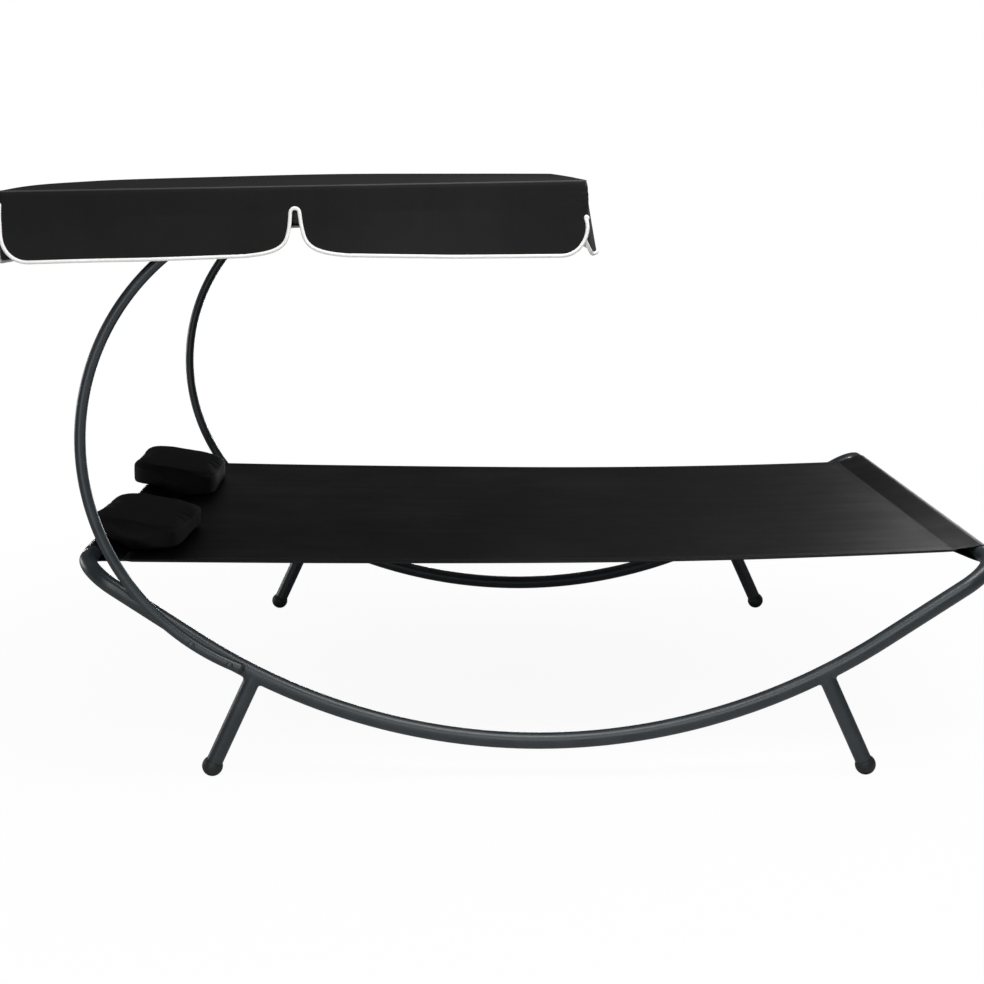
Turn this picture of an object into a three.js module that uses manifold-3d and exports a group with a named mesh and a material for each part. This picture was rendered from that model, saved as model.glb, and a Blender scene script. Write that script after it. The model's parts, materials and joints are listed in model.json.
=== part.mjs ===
// Double sun lounger: a rocking-shaped tube frame with a sling bed, two loose pillows and a canopy
// that tilts on two C-shaped arcs. Millimetres, +Z up, +X towards the foot end, -Y the near side.

import * as THREE from 'three';
import { mergeVertices } from 'three/addons/utils/BufferGeometryUtils.js';
import Module from 'manifold-3d';

const wasm = await Module();
wasm.setup();

// Clearances between pieces, and the overrun of every cut
const gap = 0.3;
const cutOverrun = 5;

// Main frame tube, and the bow of each side rail
const railDiameter = 38;
const railSpacing = 1570;
const bowRadius = 1404;
const bowLowestCentre = 81;
const bowHalfAngle = THREE.MathUtils.degToRad(34);
const endBarReach = 1040;
const cornerBendRadius = 90;
const railEndStraight = 34;
const railSides = 14;

// Spigot of an end bar inside a side rail, and the screw that holds it
const spigotDiameter = 34;
const spigotLength = 30;
const jointScrewDiameter = 5;
const jointScrewHead = 10;
const jointScrewHeadHeight = 3;
const jointScrewHeadRound = 1;
const jointScrewDepth = 6;
const jointScrewInset = 15;

// Legs and their ball-shaped caps
const footSpacing = 1510;
const legLean = THREE.MathUtils.degToRad(25);
const legDiameter = 38;
const capDiameter = 48;
const capFlat = 1.5;
const legEndAboveCapCentre = 4;
const legSides = 20;
const capSegments = 16;
const capRings = 10;
const legSearchTurns = 8;

// C-shaped canopy arcs, outboard of the rails
const arcDiameter = 25;
const arcRadius = 544;
const arcCentreX = -480;
const arcMeetReach = 250;
const arcBoltReaches = [310, 225];
const arcLowerEndReach = 203;
const arcBlendRise = 421;
const pivotReach = 60;
const pivotRise = 514;
const arcSides = 12;
const arcBeyondPivot = 18;
const arcSteps = 30;
const arcTopSteps = 9;
const plugFlange = 2.5;
const plugDepth = 14;
const plugDomeHeight = 7;
const plugDomeSteps = 4;
const plugFaceShare = 0.8;
const plugBoreDiameter = 20;

// Bolts through an arc and its rail
const arcBoltDiameter = 8;
const arcBoltHead = 17;
const arcBoltHeadHeight = 5;
const nutAcross = 15.6;
const nutSides = 6;
const nutDomeDrop = 1;
const nutHeight = 12;
const nutShoulder = 6.5;
const nutBoreDepth = 9.5;
const nutTop = 9;

// Sling bed
const slingEdgeClearance = 11;
const slingThickness = 2.4;
const slingSag = 15;
const seamDrop = 4;
const pocketLength = 70;
const pocketWall = 1.6;
const slingSteps = 14;
const pocketSegments = 18;

// Pillows
const pillowLength = 390;
const pillowWidth = 260;
const pillowCrown = 22;
const pillowUnderside = 8;
const pillowEdgeInset = 90;
const pillowInset = 65;
const pillowDrawIn = 6;
const pillowCornerShare = 0.12;
const pillowRows = 14;
const pillowSettle = 0.8;
const pillowRimThickness = 38;
const pillowFullness = 0.42;

// Canopy frame
const canopyHeadReach = 629;
const canopyFootReach = 628;
const canopyTubeDiameter = 19;
const canopyTubeRise = 47;
const canopyRestTilt = THREE.MathUtils.degToRad(1.25);
const canopyTubeSides = 12;
const canopyBarSteps = 10;

// Tilt hardware
const bracketWidth = 44;
const bracketThickness = 3;
const bracketReach = 23.6;
const bracketSegments = 12;
const pivotBoltDiameter = 8;
const pivotBoltHead = 18;
const pivotBoltHeadHeight = 5;
const knobDiameter = 46;
const knobLobes = 6;
const knobLobeSteps = 8;
const knobHubSides = 18;
const knobLobeDepth = 3;
const knobThickness = 15;
const knobHubDiameter = 22;
const knobHubHeight = 5;
const knobBevel = 2;
const knobBoreDepth = 13;

// Canopy cover and its piping
const coverThickness = 2;
const roofSag = 3;
const roofCrown = 20;
const roofEndShare = 0.35;
const bandHeight = 45;
const flapDrop = 148;
const flapCornerRadius = 52;
const flapSlitHalfWidth = 14;
const flapFlare = 10;
const flapWave = 3;
const waveLength = 95;
const shortWaveLength = 41;
const waveShare = 0.6;
const flapColumns = 8;
const roofColumns = 8;
const roofRows = 10;
const pipingDiameter = 8;
const pipingSides = 5;

// Sizes that follow from the ones above: the rails and end bars
const railRadius = railDiameter / 2;
const railY = railSpacing / 2;
const bowEnd = new THREE.Vector2(
  bowRadius * Math.sin(bowHalfAngle),
  bowLowestCentre + bowRadius * (1 - Math.cos(bowHalfAngle)),
);
const endBarZ = bowEnd.y + (endBarReach - bowEnd.x) * Math.tan(bowHalfAngle);
const railJointY = railY - cornerBendRadius - railEndStraight;

// Height of the bow's centre line at a distance from the middle
function bowHeight(x) {
  return bowLowestCentre + bowRadius - Math.sqrt(bowRadius ** 2 - x ** 2);
}

// The canopy arcs meet the bow beside it, and carry the pivot
const arcTubeRadius = arcDiameter / 2;
const arcY = railY + railRadius + arcTubeRadius + gap;
const arcCentreZ = bowHeight(arcCentreX - arcMeetReach) + Math.sqrt(arcRadius ** 2 - arcMeetReach ** 2);
const arcBoltStationsX = arcBoltReaches.map((reach) => arcCentreX - reach);
const arcLowerEndX = arcCentreX - arcLowerEndReach;
const arcUpperBlendZ = arcCentreZ + arcBlendRise;
const pivotX = arcCentreX - pivotReach;
const pivotZ = arcCentreZ + pivotRise;

// The sling hangs between its seams
const slingWidth = 2 * (railJointY - slingEdgeClearance);
const seamX = endBarReach - pocketLength;
const seamZ = endBarZ - seamDrop;
const slingMiddleZ = seamZ - slingSag;
const pillowMiddleX = pillowInset - endBarReach;
const pillowMiddleY = slingWidth / 2 - pillowEdgeInset - pillowLength / 2;

// The canopy is built out from the pivot brackets
const bracketY = arcY + arcTubeRadius + gap;
const canopyTubeRadius = canopyTubeDiameter / 2;
const canopyTubeInset = coverThickness + gap + canopyTubeRadius;
const canopyTubeY = bracketY + bracketReach;
const canopyTubeZ = pivotZ + canopyTubeRise;
const canopyWidth = 2 * (canopyTubeY + canopyTubeInset);
const canopyHeadX = pivotX - canopyHeadReach;
const canopyLength = canopyHeadReach + canopyFootReach;
const canopyMiddleX = canopyHeadX + canopyLength / 2;
const roofUndersideZ = canopyTubeZ + canopyTubeRadius + gap;
const roofTopZ = roofUndersideZ + coverThickness;

// Colours and finishes
const finishes = {
  coatedSteel: { color: 0x343a3e, roughness: 0.45, metalness: 0.35 },
  blackPlastic: { color: 0x1c1f1f, roughness: 0.6, metalness: 0 },
  zincSteel: { color: 0x8a8f92, roughness: 0.35, metalness: 0.9 },
  slingFabric: { color: 0x161616, roughness: 0.85, metalness: 0 },
  pillowFabric: { color: 0x101010, roughness: 0.9, metalness: 0 },
  canopyFabric: { color: 0x222222, roughness: 0.9, metalness: 0 },
  whitePiping: { color: 0xf0f0f0, roughness: 0.7, metalness: 0 },
};

function piece(name, geometry, finish) {
  const mesh = new THREE.Mesh(geometry, new THREE.MeshStandardMaterial(finishes[finish]));
  mesh.name = name;
  return mesh;
}

// Joining and cutting closed meshes

function toManifold(geometry) {
  const bare = geometry.clone();
  bare.deleteAttribute('normal');
  bare.deleteAttribute('uv');
  const merged = mergeVertices(bare, 1e-4);
  const triVerts = new Uint32Array(merged.index.array);
  const vertProperties = new Float32Array(merged.attributes.position.array);
  return new wasm.Manifold(new wasm.Mesh({ numProp: 3, vertProperties, triVerts }));
}

function toGeometry(manifold) {
  const mesh = manifold.getMesh();
  const geometry = new THREE.BufferGeometry();
  geometry.setAttribute('position', new THREE.BufferAttribute(new Float32Array(mesh.vertProperties), 3));
  geometry.setIndex(new THREE.BufferAttribute(new Uint32Array(mesh.triVerts), 1));
  geometry.computeVertexNormals();
  return geometry;
}

function cut(geometry, ...cutters) {
  const remove = (body, cutter) => body.subtract(toManifold(cutter));
  return toGeometry(cutters.reduce(remove, toManifold(geometry)));
}

function join(...geometries) {
  return toGeometry(geometries.map(toManifold).reduce((body, other) => body.add(other)));
}

// A cylinder between two points, given as vectors
function rod(from, to, radius, sides) {
  const along = new THREE.Vector3().subVectors(to, from);
  const geometry = new THREE.CylinderGeometry(radius, radius, along.length(), sides);
  const turn = new THREE.Quaternion().setFromUnitVectors(new THREE.Vector3(0, 1, 0), along.normalize());
  const middle = new THREE.Vector3().addVectors(from, to).multiplyScalar(0.5);
  return geometry.applyQuaternion(turn).translate(middle.x, middle.y, middle.z);
}

// A round cutter whose flats stand clear of a pin of the given radius by the common gap
function holeCutter(from, to, pinRadius, sides) {
  return rod(from, to, (pinRadius + gap) / Math.cos(Math.PI / sides), sides);
}

// A turned piece whose axis starts at a point and runs along a direction; profile as [radius, height]
function turned(profile, sides, start, direction) {
  const points = profile.map(([radius, height]) => new THREE.Vector2(radius, height));
  const turn = new THREE.Quaternion().setFromUnitVectors(new THREE.Vector3(0, 1, 0), direction);
  return new THREE.LatheGeometry(points, sides).applyQuaternion(turn).translate(start.x, start.y, start.z);
}

// Tube paths: straight runs and bends, each with its own number of steps

class Bend extends THREE.Curve {
  // A circular bend that starts at centre + radius * first and turns towards second
  constructor(centre, first, second, radius, angle) {
    super();
    Object.assign(this, { centre, first, second, radius, angle });
  }

  getPoint(t, target = new THREE.Vector3()) {
    const turn = t * this.angle;
    return target.copy(this.centre)
      .addScaledVector(this.first, this.radius * Math.cos(turn))
      .addScaledVector(this.second, this.radius * Math.sin(turn));
  }
}

class SteppedPath extends THREE.Curve {
  // runs is a list of [curve, steps]; the path's parameter moves evenly from step to step
  constructor(runs) {
    super();
    this.runs = runs;
    this.steps = runs.reduce((sum, [, steps]) => sum + steps, 0);
  }

  getPoint(t, target = new THREE.Vector3()) {
    let place = t * this.steps;
    for (const [curve, steps] of this.runs) {
      if (place <= steps) return curve.getPoint(place / steps, target);
      place -= steps;
    }
    const last = this.runs[this.runs.length - 1][0];
    return last.getPoint(1, target);
  }

  getPointAt(u, target) {
    return this.getPoint(u, target);
  }

  getTangentAt(u, target) {
    return this.getTangent(u, target);
  }

  getSpacedPoints(divisions) {
    return Array.from({ length: divisions + 1 }, (_, i) => this.getPoint(i / divisions));
  }
}

function circle(radius, sides) {
  const points = Array.from({ length: sides }, (_, i) => {
    const angle = (2 * Math.PI * i) / sides;
    return new THREE.Vector2(radius * Math.cos(angle), radius * Math.sin(angle));
  });
  return new THREE.Shape(points);
}

function sweep(path, radius, sides) {
  const options = { steps: path.steps, extrudePath: path, curveSegments: 1 };
  return new THREE.ExtrudeGeometry(circle(radius, sides), options);
}

// Side rails: a bow with straight shoulders, turned in at both ends to meet the end bars

const bowSteps = 26;
const cornerSteps = 8;

function railPath(side) {
  const y = side * railY;
  const inward = new THREE.Vector3(0, -side, 0);
  const slope = (end) => new THREE.Vector3(end * Math.cos(bowHalfAngle), 0, Math.sin(bowHalfAngle));
  const shoulder = (end) => new THREE.Vector3(end * bowEnd.x, y, bowEnd.y);
  const corner = (end) => new THREE.Vector3(end * endBarReach, y, endBarZ);
  const bendStart = (end) => corner(end).addScaledVector(slope(end), -cornerBendRadius);
  const bendEnd = (end) => corner(end).addScaledVector(inward, cornerBendRadius);
  const tip = (end) => new THREE.Vector3(end * endBarReach, side * railJointY, endBarZ);
  const bendCentre = (end) => bendStart(end).addScaledVector(inward, cornerBendRadius);
  const quarter = Math.PI / 2;
  const outward = inward.clone().negate();
  const bowCentre = new THREE.Vector3(0, y, bowLowestCentre + bowRadius);
  const bowFirst = new THREE.Vector3(-Math.sin(bowHalfAngle), 0, -Math.cos(bowHalfAngle));
  const bowSecond = new THREE.Vector3(Math.cos(bowHalfAngle), 0, -Math.sin(bowHalfAngle));
  return new SteppedPath([
    [new THREE.LineCurve3(tip(-1), bendEnd(-1)), 1],
    [new Bend(bendCentre(-1), slope(-1), outward, cornerBendRadius, quarter), cornerSteps],
    [new THREE.LineCurve3(bendStart(-1), shoulder(-1)), 1],
    [new Bend(bowCentre, bowFirst, bowSecond, bowRadius, 2 * bowHalfAngle), bowSteps],
    [new THREE.LineCurve3(shoulder(1), bendStart(1)), 1],
    [new Bend(bendCentre(1), outward, slope(1), cornerBendRadius, quarter), cornerSteps],
    [new THREE.LineCurve3(bendEnd(1), tip(1)), 1],
  ]);
}

function arcCentreHeight(x) {
  return arcCentreZ - Math.sqrt(arcRadius ** 2 - (x - arcCentreX) ** 2);
}

function arcBoltPlace(x, y) {
  return new THREE.Vector3(x, y, arcCentreHeight(x));
}

function arcBoltHole(x, side) {
  const inner = side * (railY - railRadius - cutOverrun);
  const outer = side * (arcY + arcTubeRadius + cutOverrun);
  return holeCutter(arcBoltPlace(x, inner), arcBoltPlace(x, outer), arcBoltDiameter / 2, arcSides);
}

function jointScrewPlace(end, side) {
  const y = side * (railJointY + jointScrewInset);
  return new THREE.Vector3(end * endBarReach, y, endBarZ - railRadius);
}

function jointScrewHole(end, side) {
  const place = jointScrewPlace(end, side);
  const down = place.clone().setZ(place.z - cutOverrun);
  const up = place.clone().setZ(place.z + jointScrewDepth + gap);
  return holeCutter(down, up, jointScrewDiameter / 2, arcSides);
}

function sideRail(side) {
  const tube = sweep(railPath(side), railRadius, railSides);
  const sockets = [-1, 1].map((end) => holeCutter(
    new THREE.Vector3(end * endBarReach, side * (railJointY - cutOverrun), endBarZ),
    new THREE.Vector3(end * endBarReach, side * (railJointY + spigotLength + gap), endBarZ),
    spigotDiameter / 2,
    railSides,
  ));
  const screwHoles = [-1, 1].map((end) => jointScrewHole(end, side));
  const boltHoles = arcBoltStationsX.map((x) => arcBoltHole(x, side));
  return cut(tube, ...sockets, ...screwHoles, ...boltHoles);
}

function endBar(end) {
  const shoulder = railJointY - gap;
  const tip = railJointY + spigotLength;
  const spigot = spigotDiameter / 2;
  const profile = [
    [0, -tip], [spigot, -tip], [spigot, -shoulder], [railRadius, -shoulder],
    [railRadius, shoulder], [spigot, shoulder], [spigot, tip], [0, tip],
  ];
  const axisStart = new THREE.Vector3(end * endBarReach, 0, endBarZ);
  const bar = turned(profile, railSides, axisStart, new THREE.Vector3(0, 1, 0));
  return cut(bar, jointScrewHole(end, -1), jointScrewHole(end, 1));
}

function jointScrew(end, side) {
  const profile = [
    [0, -gap - jointScrewHeadHeight],
    [jointScrewHead / 2 - jointScrewHeadRound, -gap - jointScrewHeadHeight],
    [jointScrewHead / 2, -gap - jointScrewHeadHeight / 2], [jointScrewHead / 2, -gap],
    [jointScrewDiameter / 2, -gap], [jointScrewDiameter / 2, jointScrewDepth], [0, jointScrewDepth],
  ];
  return turned(profile, arcSides, jointScrewPlace(end, side), new THREE.Vector3(0, 0, 1));
}

// Legs: coped to the rail above, in a ball-shaped cap below

function footCentre(end, side) {
  return new THREE.Vector3((end * footSpacing) / 2, side * railY, capDiameter / 2 - capFlat);
}

function legDirection(end) {
  return new THREE.Vector3(-end * Math.sin(legLean), 0, Math.cos(legLean));
}

function legBottom(end, side) {
  return footCentre(end, side).addScaledVector(legDirection(end), legEndAboveCapCentre);
}

function legTop(end, side) {
  const foot = footCentre(end, side);
  const top = foot.clone();
  // walks up the leg until it meets the bow's centre line
  for (let turn = 0; turn < legSearchTurns; turn += 1) {
    const rise = bowHeight(top.x) - foot.z;
    top.copy(foot).addScaledVector(legDirection(end), rise / Math.cos(legLean));
  }
  return top;
}

function leg(end, side) {
  const tube = rod(legBottom(end, side), legTop(end, side), legDiameter / 2, legSides);
  return cut(tube, sweep(railPath(side), railRadius + gap, railSides));
}

function footCap(end, side) {
  const radius = capDiameter / 2;
  const centre = footCentre(end, side);
  const ball = new THREE.SphereGeometry(radius, capSegments, capRings).rotateX(Math.PI / 2);
  const floor = new THREE.BoxGeometry(capDiameter, capDiameter, capDiameter);
  floor.translate(0, 0, capFlat - radius - capDiameter / 2);
  const up = legDirection(end);
  const bore = holeCutter(
    up.clone().multiplyScalar(legEndAboveCapCentre - gap),
    up.clone().multiplyScalar(capDiameter),
    legDiameter / 2,
    legSides,
  );
  return cut(ball, floor, bore).translate(centre.x, centre.y, centre.z);
}

// Canopy arcs: one large circle, a tighter bend at the top, and a level end at the pivot

function arcPath(side) {
  const y = side * arcY;
  const lower = Math.acos((arcLowerEndX - arcCentreX) / arcRadius);
  const upper = Math.PI - Math.asin((arcUpperBlendZ - arcCentreZ) / arcRadius);
  const alongX = new THREE.Vector3(1, 0, 0);
  const alongZ = new THREE.Vector3(0, 0, 1);
  const centre = new THREE.Vector3(arcCentreX, y, arcCentreZ);
  const alongXZ = (x, z) => alongX.clone().multiplyScalar(x).addScaledVector(alongZ, z);
  const firstOfCircle = alongXZ(Math.cos(lower), -Math.sin(lower));
  const secondOfCircle = alongXZ(-Math.sin(lower), -Math.cos(lower));
  const circleAngle = 2 * Math.PI - lower - upper;
  // the top bend starts at the blend point and ends level at the pivot's height
  const remaining = upper - Math.PI / 2;
  const topRadius = (pivotZ - arcUpperBlendZ) / (1 - Math.cos(remaining));
  const outward = new THREE.Vector3(Math.cos(upper), 0, Math.sin(upper));
  const blend = centre.clone().addScaledVector(outward, arcRadius);
  const topCentre = blend.clone().addScaledVector(outward, -topRadius);
  const forward = new THREE.Vector3(Math.sin(upper), 0, -Math.cos(upper));
  const topEnd = new THREE.Vector3(topCentre.x, y, pivotZ);
  const tip = new THREE.Vector3(pivotX + arcBeyondPivot, y, pivotZ);
  return new SteppedPath([
    [new Bend(centre, firstOfCircle, secondOfCircle, arcRadius, circleAngle), arcSteps],
    [new Bend(topCentre, outward, forward, topRadius, remaining), arcTopSteps],
    [new THREE.LineCurve3(topEnd, tip), 1],
  ]);
}

function pivotHole(side) {
  const inner = new THREE.Vector3(pivotX, side * (arcY - arcTubeRadius - cutOverrun), pivotZ);
  const outer = new THREE.Vector3(pivotX, side * (bracketY + bracketThickness + cutOverrun), pivotZ);
  return holeCutter(inner, outer, pivotBoltDiameter / 2, arcSides);
}

// The two ends of an arc, each with the direction that points out of the tube
function arcEnds(side) {
  const path = arcPath(side);
  return [0, 1].map((t) => ({
    place: path.getPoint(t),
    direction: path.getTangent(t).multiplyScalar(t === 0 ? -1 : 1),
  }));
}

function canopyArc(side) {
  const tube = sweep(arcPath(side), arcTubeRadius, arcSides);
  const boltHoles = arcBoltStationsX.map((x) => arcBoltHole(x, side));
  const [{ place, direction }] = arcEnds(side);
  const plugBore = holeCutter(
    place.clone().addScaledVector(direction, cutOverrun),
    place.clone().addScaledVector(direction, -plugDepth - gap),
    plugBoreDiameter / 2,
    arcSides,
  );
  return cut(tube, ...boltHoles, pivotHole(side), plugBore);
}

function lowerPlug(side) {
  const radius = arcTubeRadius;
  const bore = plugBoreDiameter / 2;
  const dome = Array.from({ length: plugDomeSteps }, (_, i) => {
    const angle = (Math.PI / 2) * ((i + 1) / plugDomeSteps);
    return [radius * Math.cos(angle), gap + plugFlange + plugDomeHeight * Math.sin(angle)];
  });
  dome[dome.length - 1][0] = 0;
  const profile = [
    [0, -plugDepth], [bore, -plugDepth], [bore, gap], [radius, gap], [radius, gap + plugFlange], ...dome,
  ];
  const [{ place, direction }] = arcEnds(side);
  return turned(profile, arcSides, place, direction);
}

function upperPlug(side) {
  const radius = arcTubeRadius;
  const profile = [
    [0, gap], [radius, gap], [radius, gap + plugFlange / 2],
    [radius * plugFaceShare, gap + plugFlange], [0, gap + plugFlange],
  ];
  const [, { place, direction }] = arcEnds(side);
  return turned(profile, arcSides, place, direction);
}

// The crown of a round bolt head, from its rim up to its middle, as [radius, height]
const headRimShare = 0.3;
const headShoulderShares = [0.6, 0.85];

function headDome(radius, height) {
  const [across, up] = headShoulderShares;
  return [[radius, height * headRimShare], [radius * across, height * up], [0, height]];
}

function arcBolt(x, side) {
  const head = arcBoltHead / 2;
  const shank = arcBoltDiameter / 2;
  const tip = arcY + arcTubeRadius - (railY - railRadius) + nutBoreDepth - gap;
  const profile = [
    [0, -tip], [shank, -tip], [shank, gap], [head, gap],
    ...headDome(head, arcBoltHeadHeight).map(([radius, height]) => [radius, height + gap]),
  ];
  const start = arcBoltPlace(x, side * (arcY + arcTubeRadius));
  return turned(profile, arcSides, start, new THREE.Vector3(0, side, 0));
}

function arcNut(x, side) {
  const outer = nutAcross / 2;
  const bore = (arcBoltDiameter / 2 + gap) / Math.cos(Math.PI / nutSides);
  const profile = [
    [0, nutBoreDepth + gap], [bore, nutBoreDepth + gap], [bore, gap], [outer, gap],
    [outer, nutShoulder + gap], [nutTop / 2, nutHeight - nutDomeDrop + gap], [0, nutHeight + gap],
  ];
  const start = arcBoltPlace(x, side * (railY - railRadius));
  return turned(profile, nutSides, start, new THREE.Vector3(0, -side, 0));
}

// Sling bed: one sheet with a sewn pocket round each end bar

function tangentAngle(distance, radius) {
  return Math.acos(radius / distance);
}

function slingProfile() {
  const outer = railRadius + gap + pocketWall;
  const inner = railRadius + gap;
  const half = slingThickness / 2;
  const mouthX = seamX + pocketWall;
  const shape = new THREE.Shape();
  const level = (x) => slingMiddleZ + slingSag * (x / seamX) ** 2;
  const stations = Array.from({ length: slingSteps + 1 }, (_, i) => -seamX + (2 * seamX * i) / slingSteps);
  stations.forEach((x, i) => (i ? shape.lineTo(x, level(x) + half) : shape.moveTo(x, level(x) + half)));
  const back = Math.atan2(seamZ - endBarZ, seamX - endBarReach);
  const spread = tangentAngle(Math.hypot(seamX - endBarReach, seamZ - endBarZ), outer - half);
  shape.absarc(endBarReach, endBarZ, outer, back - spread, back + spread - 2 * Math.PI, true);
  stations.slice().reverse().forEach((x) => shape.lineTo(x, level(x) - half));
  const mirror = Math.PI - back;
  shape.absarc(-endBarReach, endBarZ, outer, mirror - spread + 2 * Math.PI, mirror + spread, true);
  [-1, 1].forEach((end) => {
    const hole = new THREE.Path();
    const toMouth = Math.atan2(seamZ - endBarZ, end * (mouthX - endBarReach));
    const open = tangentAngle(Math.hypot(mouthX - endBarReach, seamZ - endBarZ), inner);
    hole.moveTo(end * mouthX, seamZ);
    hole.absarc(end * endBarReach, endBarZ, inner, toMouth + open, toMouth - open + 2 * Math.PI, false);
    hole.lineTo(end * mouthX, seamZ);
    shape.holes.push(hole);
  });
  return shape;
}

function bedSling() {
  const options = { depth: slingWidth, bevelEnabled: false, curveSegments: pocketSegments, steps: 1 };
  const sheet = new THREE.ExtrudeGeometry(slingProfile(), options);
  return sheet.rotateX(Math.PI / 2).translate(0, slingWidth / 2, 0);
}

// A closed skin over two grids that share their rim: top(u, v) and bottom(u, v), u and v from -1 to 1
function twoSidedSkin(top, bottom, columns, rows) {
  const positions = [];
  const index = [];
  const at = (i, j, layer) => (layer * (rows + 1) + j) * (columns + 1) + i;
  [top, bottom].forEach((surface) => {
    for (let j = 0; j <= rows; j += 1) {
      for (let i = 0; i <= columns; i += 1) {
        positions.push(...surface((2 * i) / columns - 1, (2 * j) / rows - 1));
      }
    }
  });
  for (let j = 0; j < rows; j += 1) {
    for (let i = 0; i < columns; i += 1) {
      const a = at(i, j, 0);
      const b = at(i + 1, j, 0);
      const c = at(i + 1, j + 1, 0);
      const d = at(i, j + 1, 0);
      const below = at(0, 0, 1);
      index.push(a, b, c, a, c, d);
      index.push(a + below, c + below, b + below, a + below, d + below, c + below);
    }
  }
  const rim = [];
  for (let i = 0; i < columns; i += 1) rim.push([at(i, 0, 0), at(i + 1, 0, 0)]);
  for (let j = 0; j < rows; j += 1) rim.push([at(columns, j, 0), at(columns, j + 1, 0)]);
  for (let i = columns; i > 0; i -= 1) rim.push([at(i, rows, 0), at(i - 1, rows, 0)]);
  for (let j = rows; j > 0; j -= 1) rim.push([at(0, j, 0), at(0, j - 1, 0)]);
  const below = at(0, 0, 1);
  rim.forEach(([a, b]) => index.push(a, a + below, b + below, a, b + below, b));
  const geometry = new THREE.BufferGeometry();
  geometry.setAttribute('position', new THREE.Float32BufferAttribute(positions, 3));
  geometry.setIndex(index);
  return geometry;
}

// Pillows: crowned cushions with soft side walls and rounded corners, tilted where they lie over the pocket

function pillow() {
  const fullness = (u, v) => ((1 - u * u) * (1 - v * v)) ** pillowFullness;
  const outline = (u, v) => {
    const roundU = Math.sqrt(1 - 2 * pillowCornerShare * v ** 4);
    const roundV = Math.sqrt(1 - 2 * pillowCornerShare * u ** 4);
    return [
      ((pillowWidth / 2) * roundU - pillowDrawIn * (1 - v * v) * u * u) * u,
      ((pillowLength / 2) * roundV - pillowDrawIn * (1 - u * u) * v * v) * v,
    ];
  };
  const top = (u, v) => [...outline(u, v), pillowRimThickness / 2 + pillowCrown * fullness(u, v)];
  const bottom = (u, v) => [...outline(u, v), -pillowRimThickness / 2 - pillowUnderside * fullness(u, v)];
  return twoSidedSkin(top, bottom, pillowRows, pillowRows);
}

function placePillow(mesh, side) {
  const barTop = endBarZ + railRadius + gap + pocketWall;
  const toeX = pillowMiddleX + pillowWidth / 2;
  const toeZ = slingMiddleZ + slingSag * (toeX / seamX) ** 2 + slingThickness / 2;
  const lean = Math.atan2(barTop - toeZ, toeX + endBarReach);
  const lift = pillowUnderside + pillowRimThickness / 2 + gap - pillowSettle;
  const middleZ = barTop - (pillowMiddleX + endBarReach) * Math.tan(lean);
  mesh.rotation.y = lean;
  mesh.position.set(pillowMiddleX, side * pillowMiddleY, middleZ + lift / Math.cos(lean));
  return mesh;
}

// Canopy frame, in the level position, with arched cross bars; the canopy is turned about its pivot later

const canopyBarsX = [
  canopyHeadX + canopyTubeInset,
  pivotX,
  canopyHeadX + canopyLength - canopyTubeInset,
];

function canopySideRail(side) {
  const y = side * canopyTubeY;
  const reach = canopyLength / 2 - coverThickness - gap;
  return rod(
    new THREE.Vector3(canopyMiddleX - reach, y, canopyTubeZ),
    new THREE.Vector3(canopyMiddleX + reach, y, canopyTubeZ),
    canopyTubeRadius,
    canopyTubeSides,
  );
}

// How far the roof and the bars under it are arched up in the middle of the width
function archHeight(x) {
  const along = (2 * (x - canopyMiddleX)) / canopyLength;
  return roofCrown * (roofEndShare + (1 - roofEndShare) * (1 - along * along));
}

function archedBarPath(x) {
  const rise = archHeight(x);
  const radius = (canopyTubeY ** 2 + rise ** 2) / (2 * rise);
  const half = Math.asin(canopyTubeY / radius);
  const centre = new THREE.Vector3(x, 0, canopyTubeZ + rise - radius);
  const first = new THREE.Vector3(0, -Math.sin(half), Math.cos(half));
  const second = new THREE.Vector3(0, Math.cos(half), Math.sin(half));
  return new SteppedPath([[new Bend(centre, first, second, radius, 2 * half), canopyBarSteps]]);
}

function canopyBar(x) {
  const bar = sweep(archedBarPath(x), canopyTubeRadius, canopyTubeSides);
  const seats = [-1, 1].map((side) => rod(
    new THREE.Vector3(x - canopyTubeDiameter, side * canopyTubeY, canopyTubeZ),
    new THREE.Vector3(x + canopyTubeDiameter, side * canopyTubeY, canopyTubeZ),
    canopyTubeRadius + gap,
    canopyTubeSides,
  ));
  const body = toManifold(bar).subtract(toManifold(seats[0])).subtract(toManifold(seats[1]));
  // the cut leaves the bar and two slivers beyond the side rails: the bar is the largest
  const parts = body.decompose().sort((a, b) => b.volume() - a.volume());
  return toGeometry(parts[0]);
}

function pivotBracket(side) {
  const half = bracketWidth / 2;
  const top = canopyTubeZ - canopyTubeRadius - gap;
  const plateShape = new THREE.Shape();
  plateShape.moveTo(-half, top - pivotZ);
  plateShape.lineTo(-half, 0);
  plateShape.absarc(0, 0, half, Math.PI, 2 * Math.PI, false);
  plateShape.lineTo(half, top - pivotZ);
  plateShape.closePath();
  const options = { depth: bracketThickness, bevelEnabled: false, curveSegments: bracketSegments };
  const plate = new THREE.ExtrudeGeometry(plateShape, options);
  plate.rotateX(Math.PI / 2).translate(pivotX, 0, pivotZ);
  plate.translate(0, side > 0 ? bracketY + bracketThickness : -bracketY, 0);
  const flangeReach = canopyTubeY + canopyTubeRadius - bracketY;
  const flange = new THREE.BoxGeometry(bracketWidth, flangeReach, bracketThickness);
  flange.translate(pivotX, side * (bracketY + flangeReach / 2), top - bracketThickness / 2);
  return cut(join(plate, flange), pivotHole(side));
}

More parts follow.
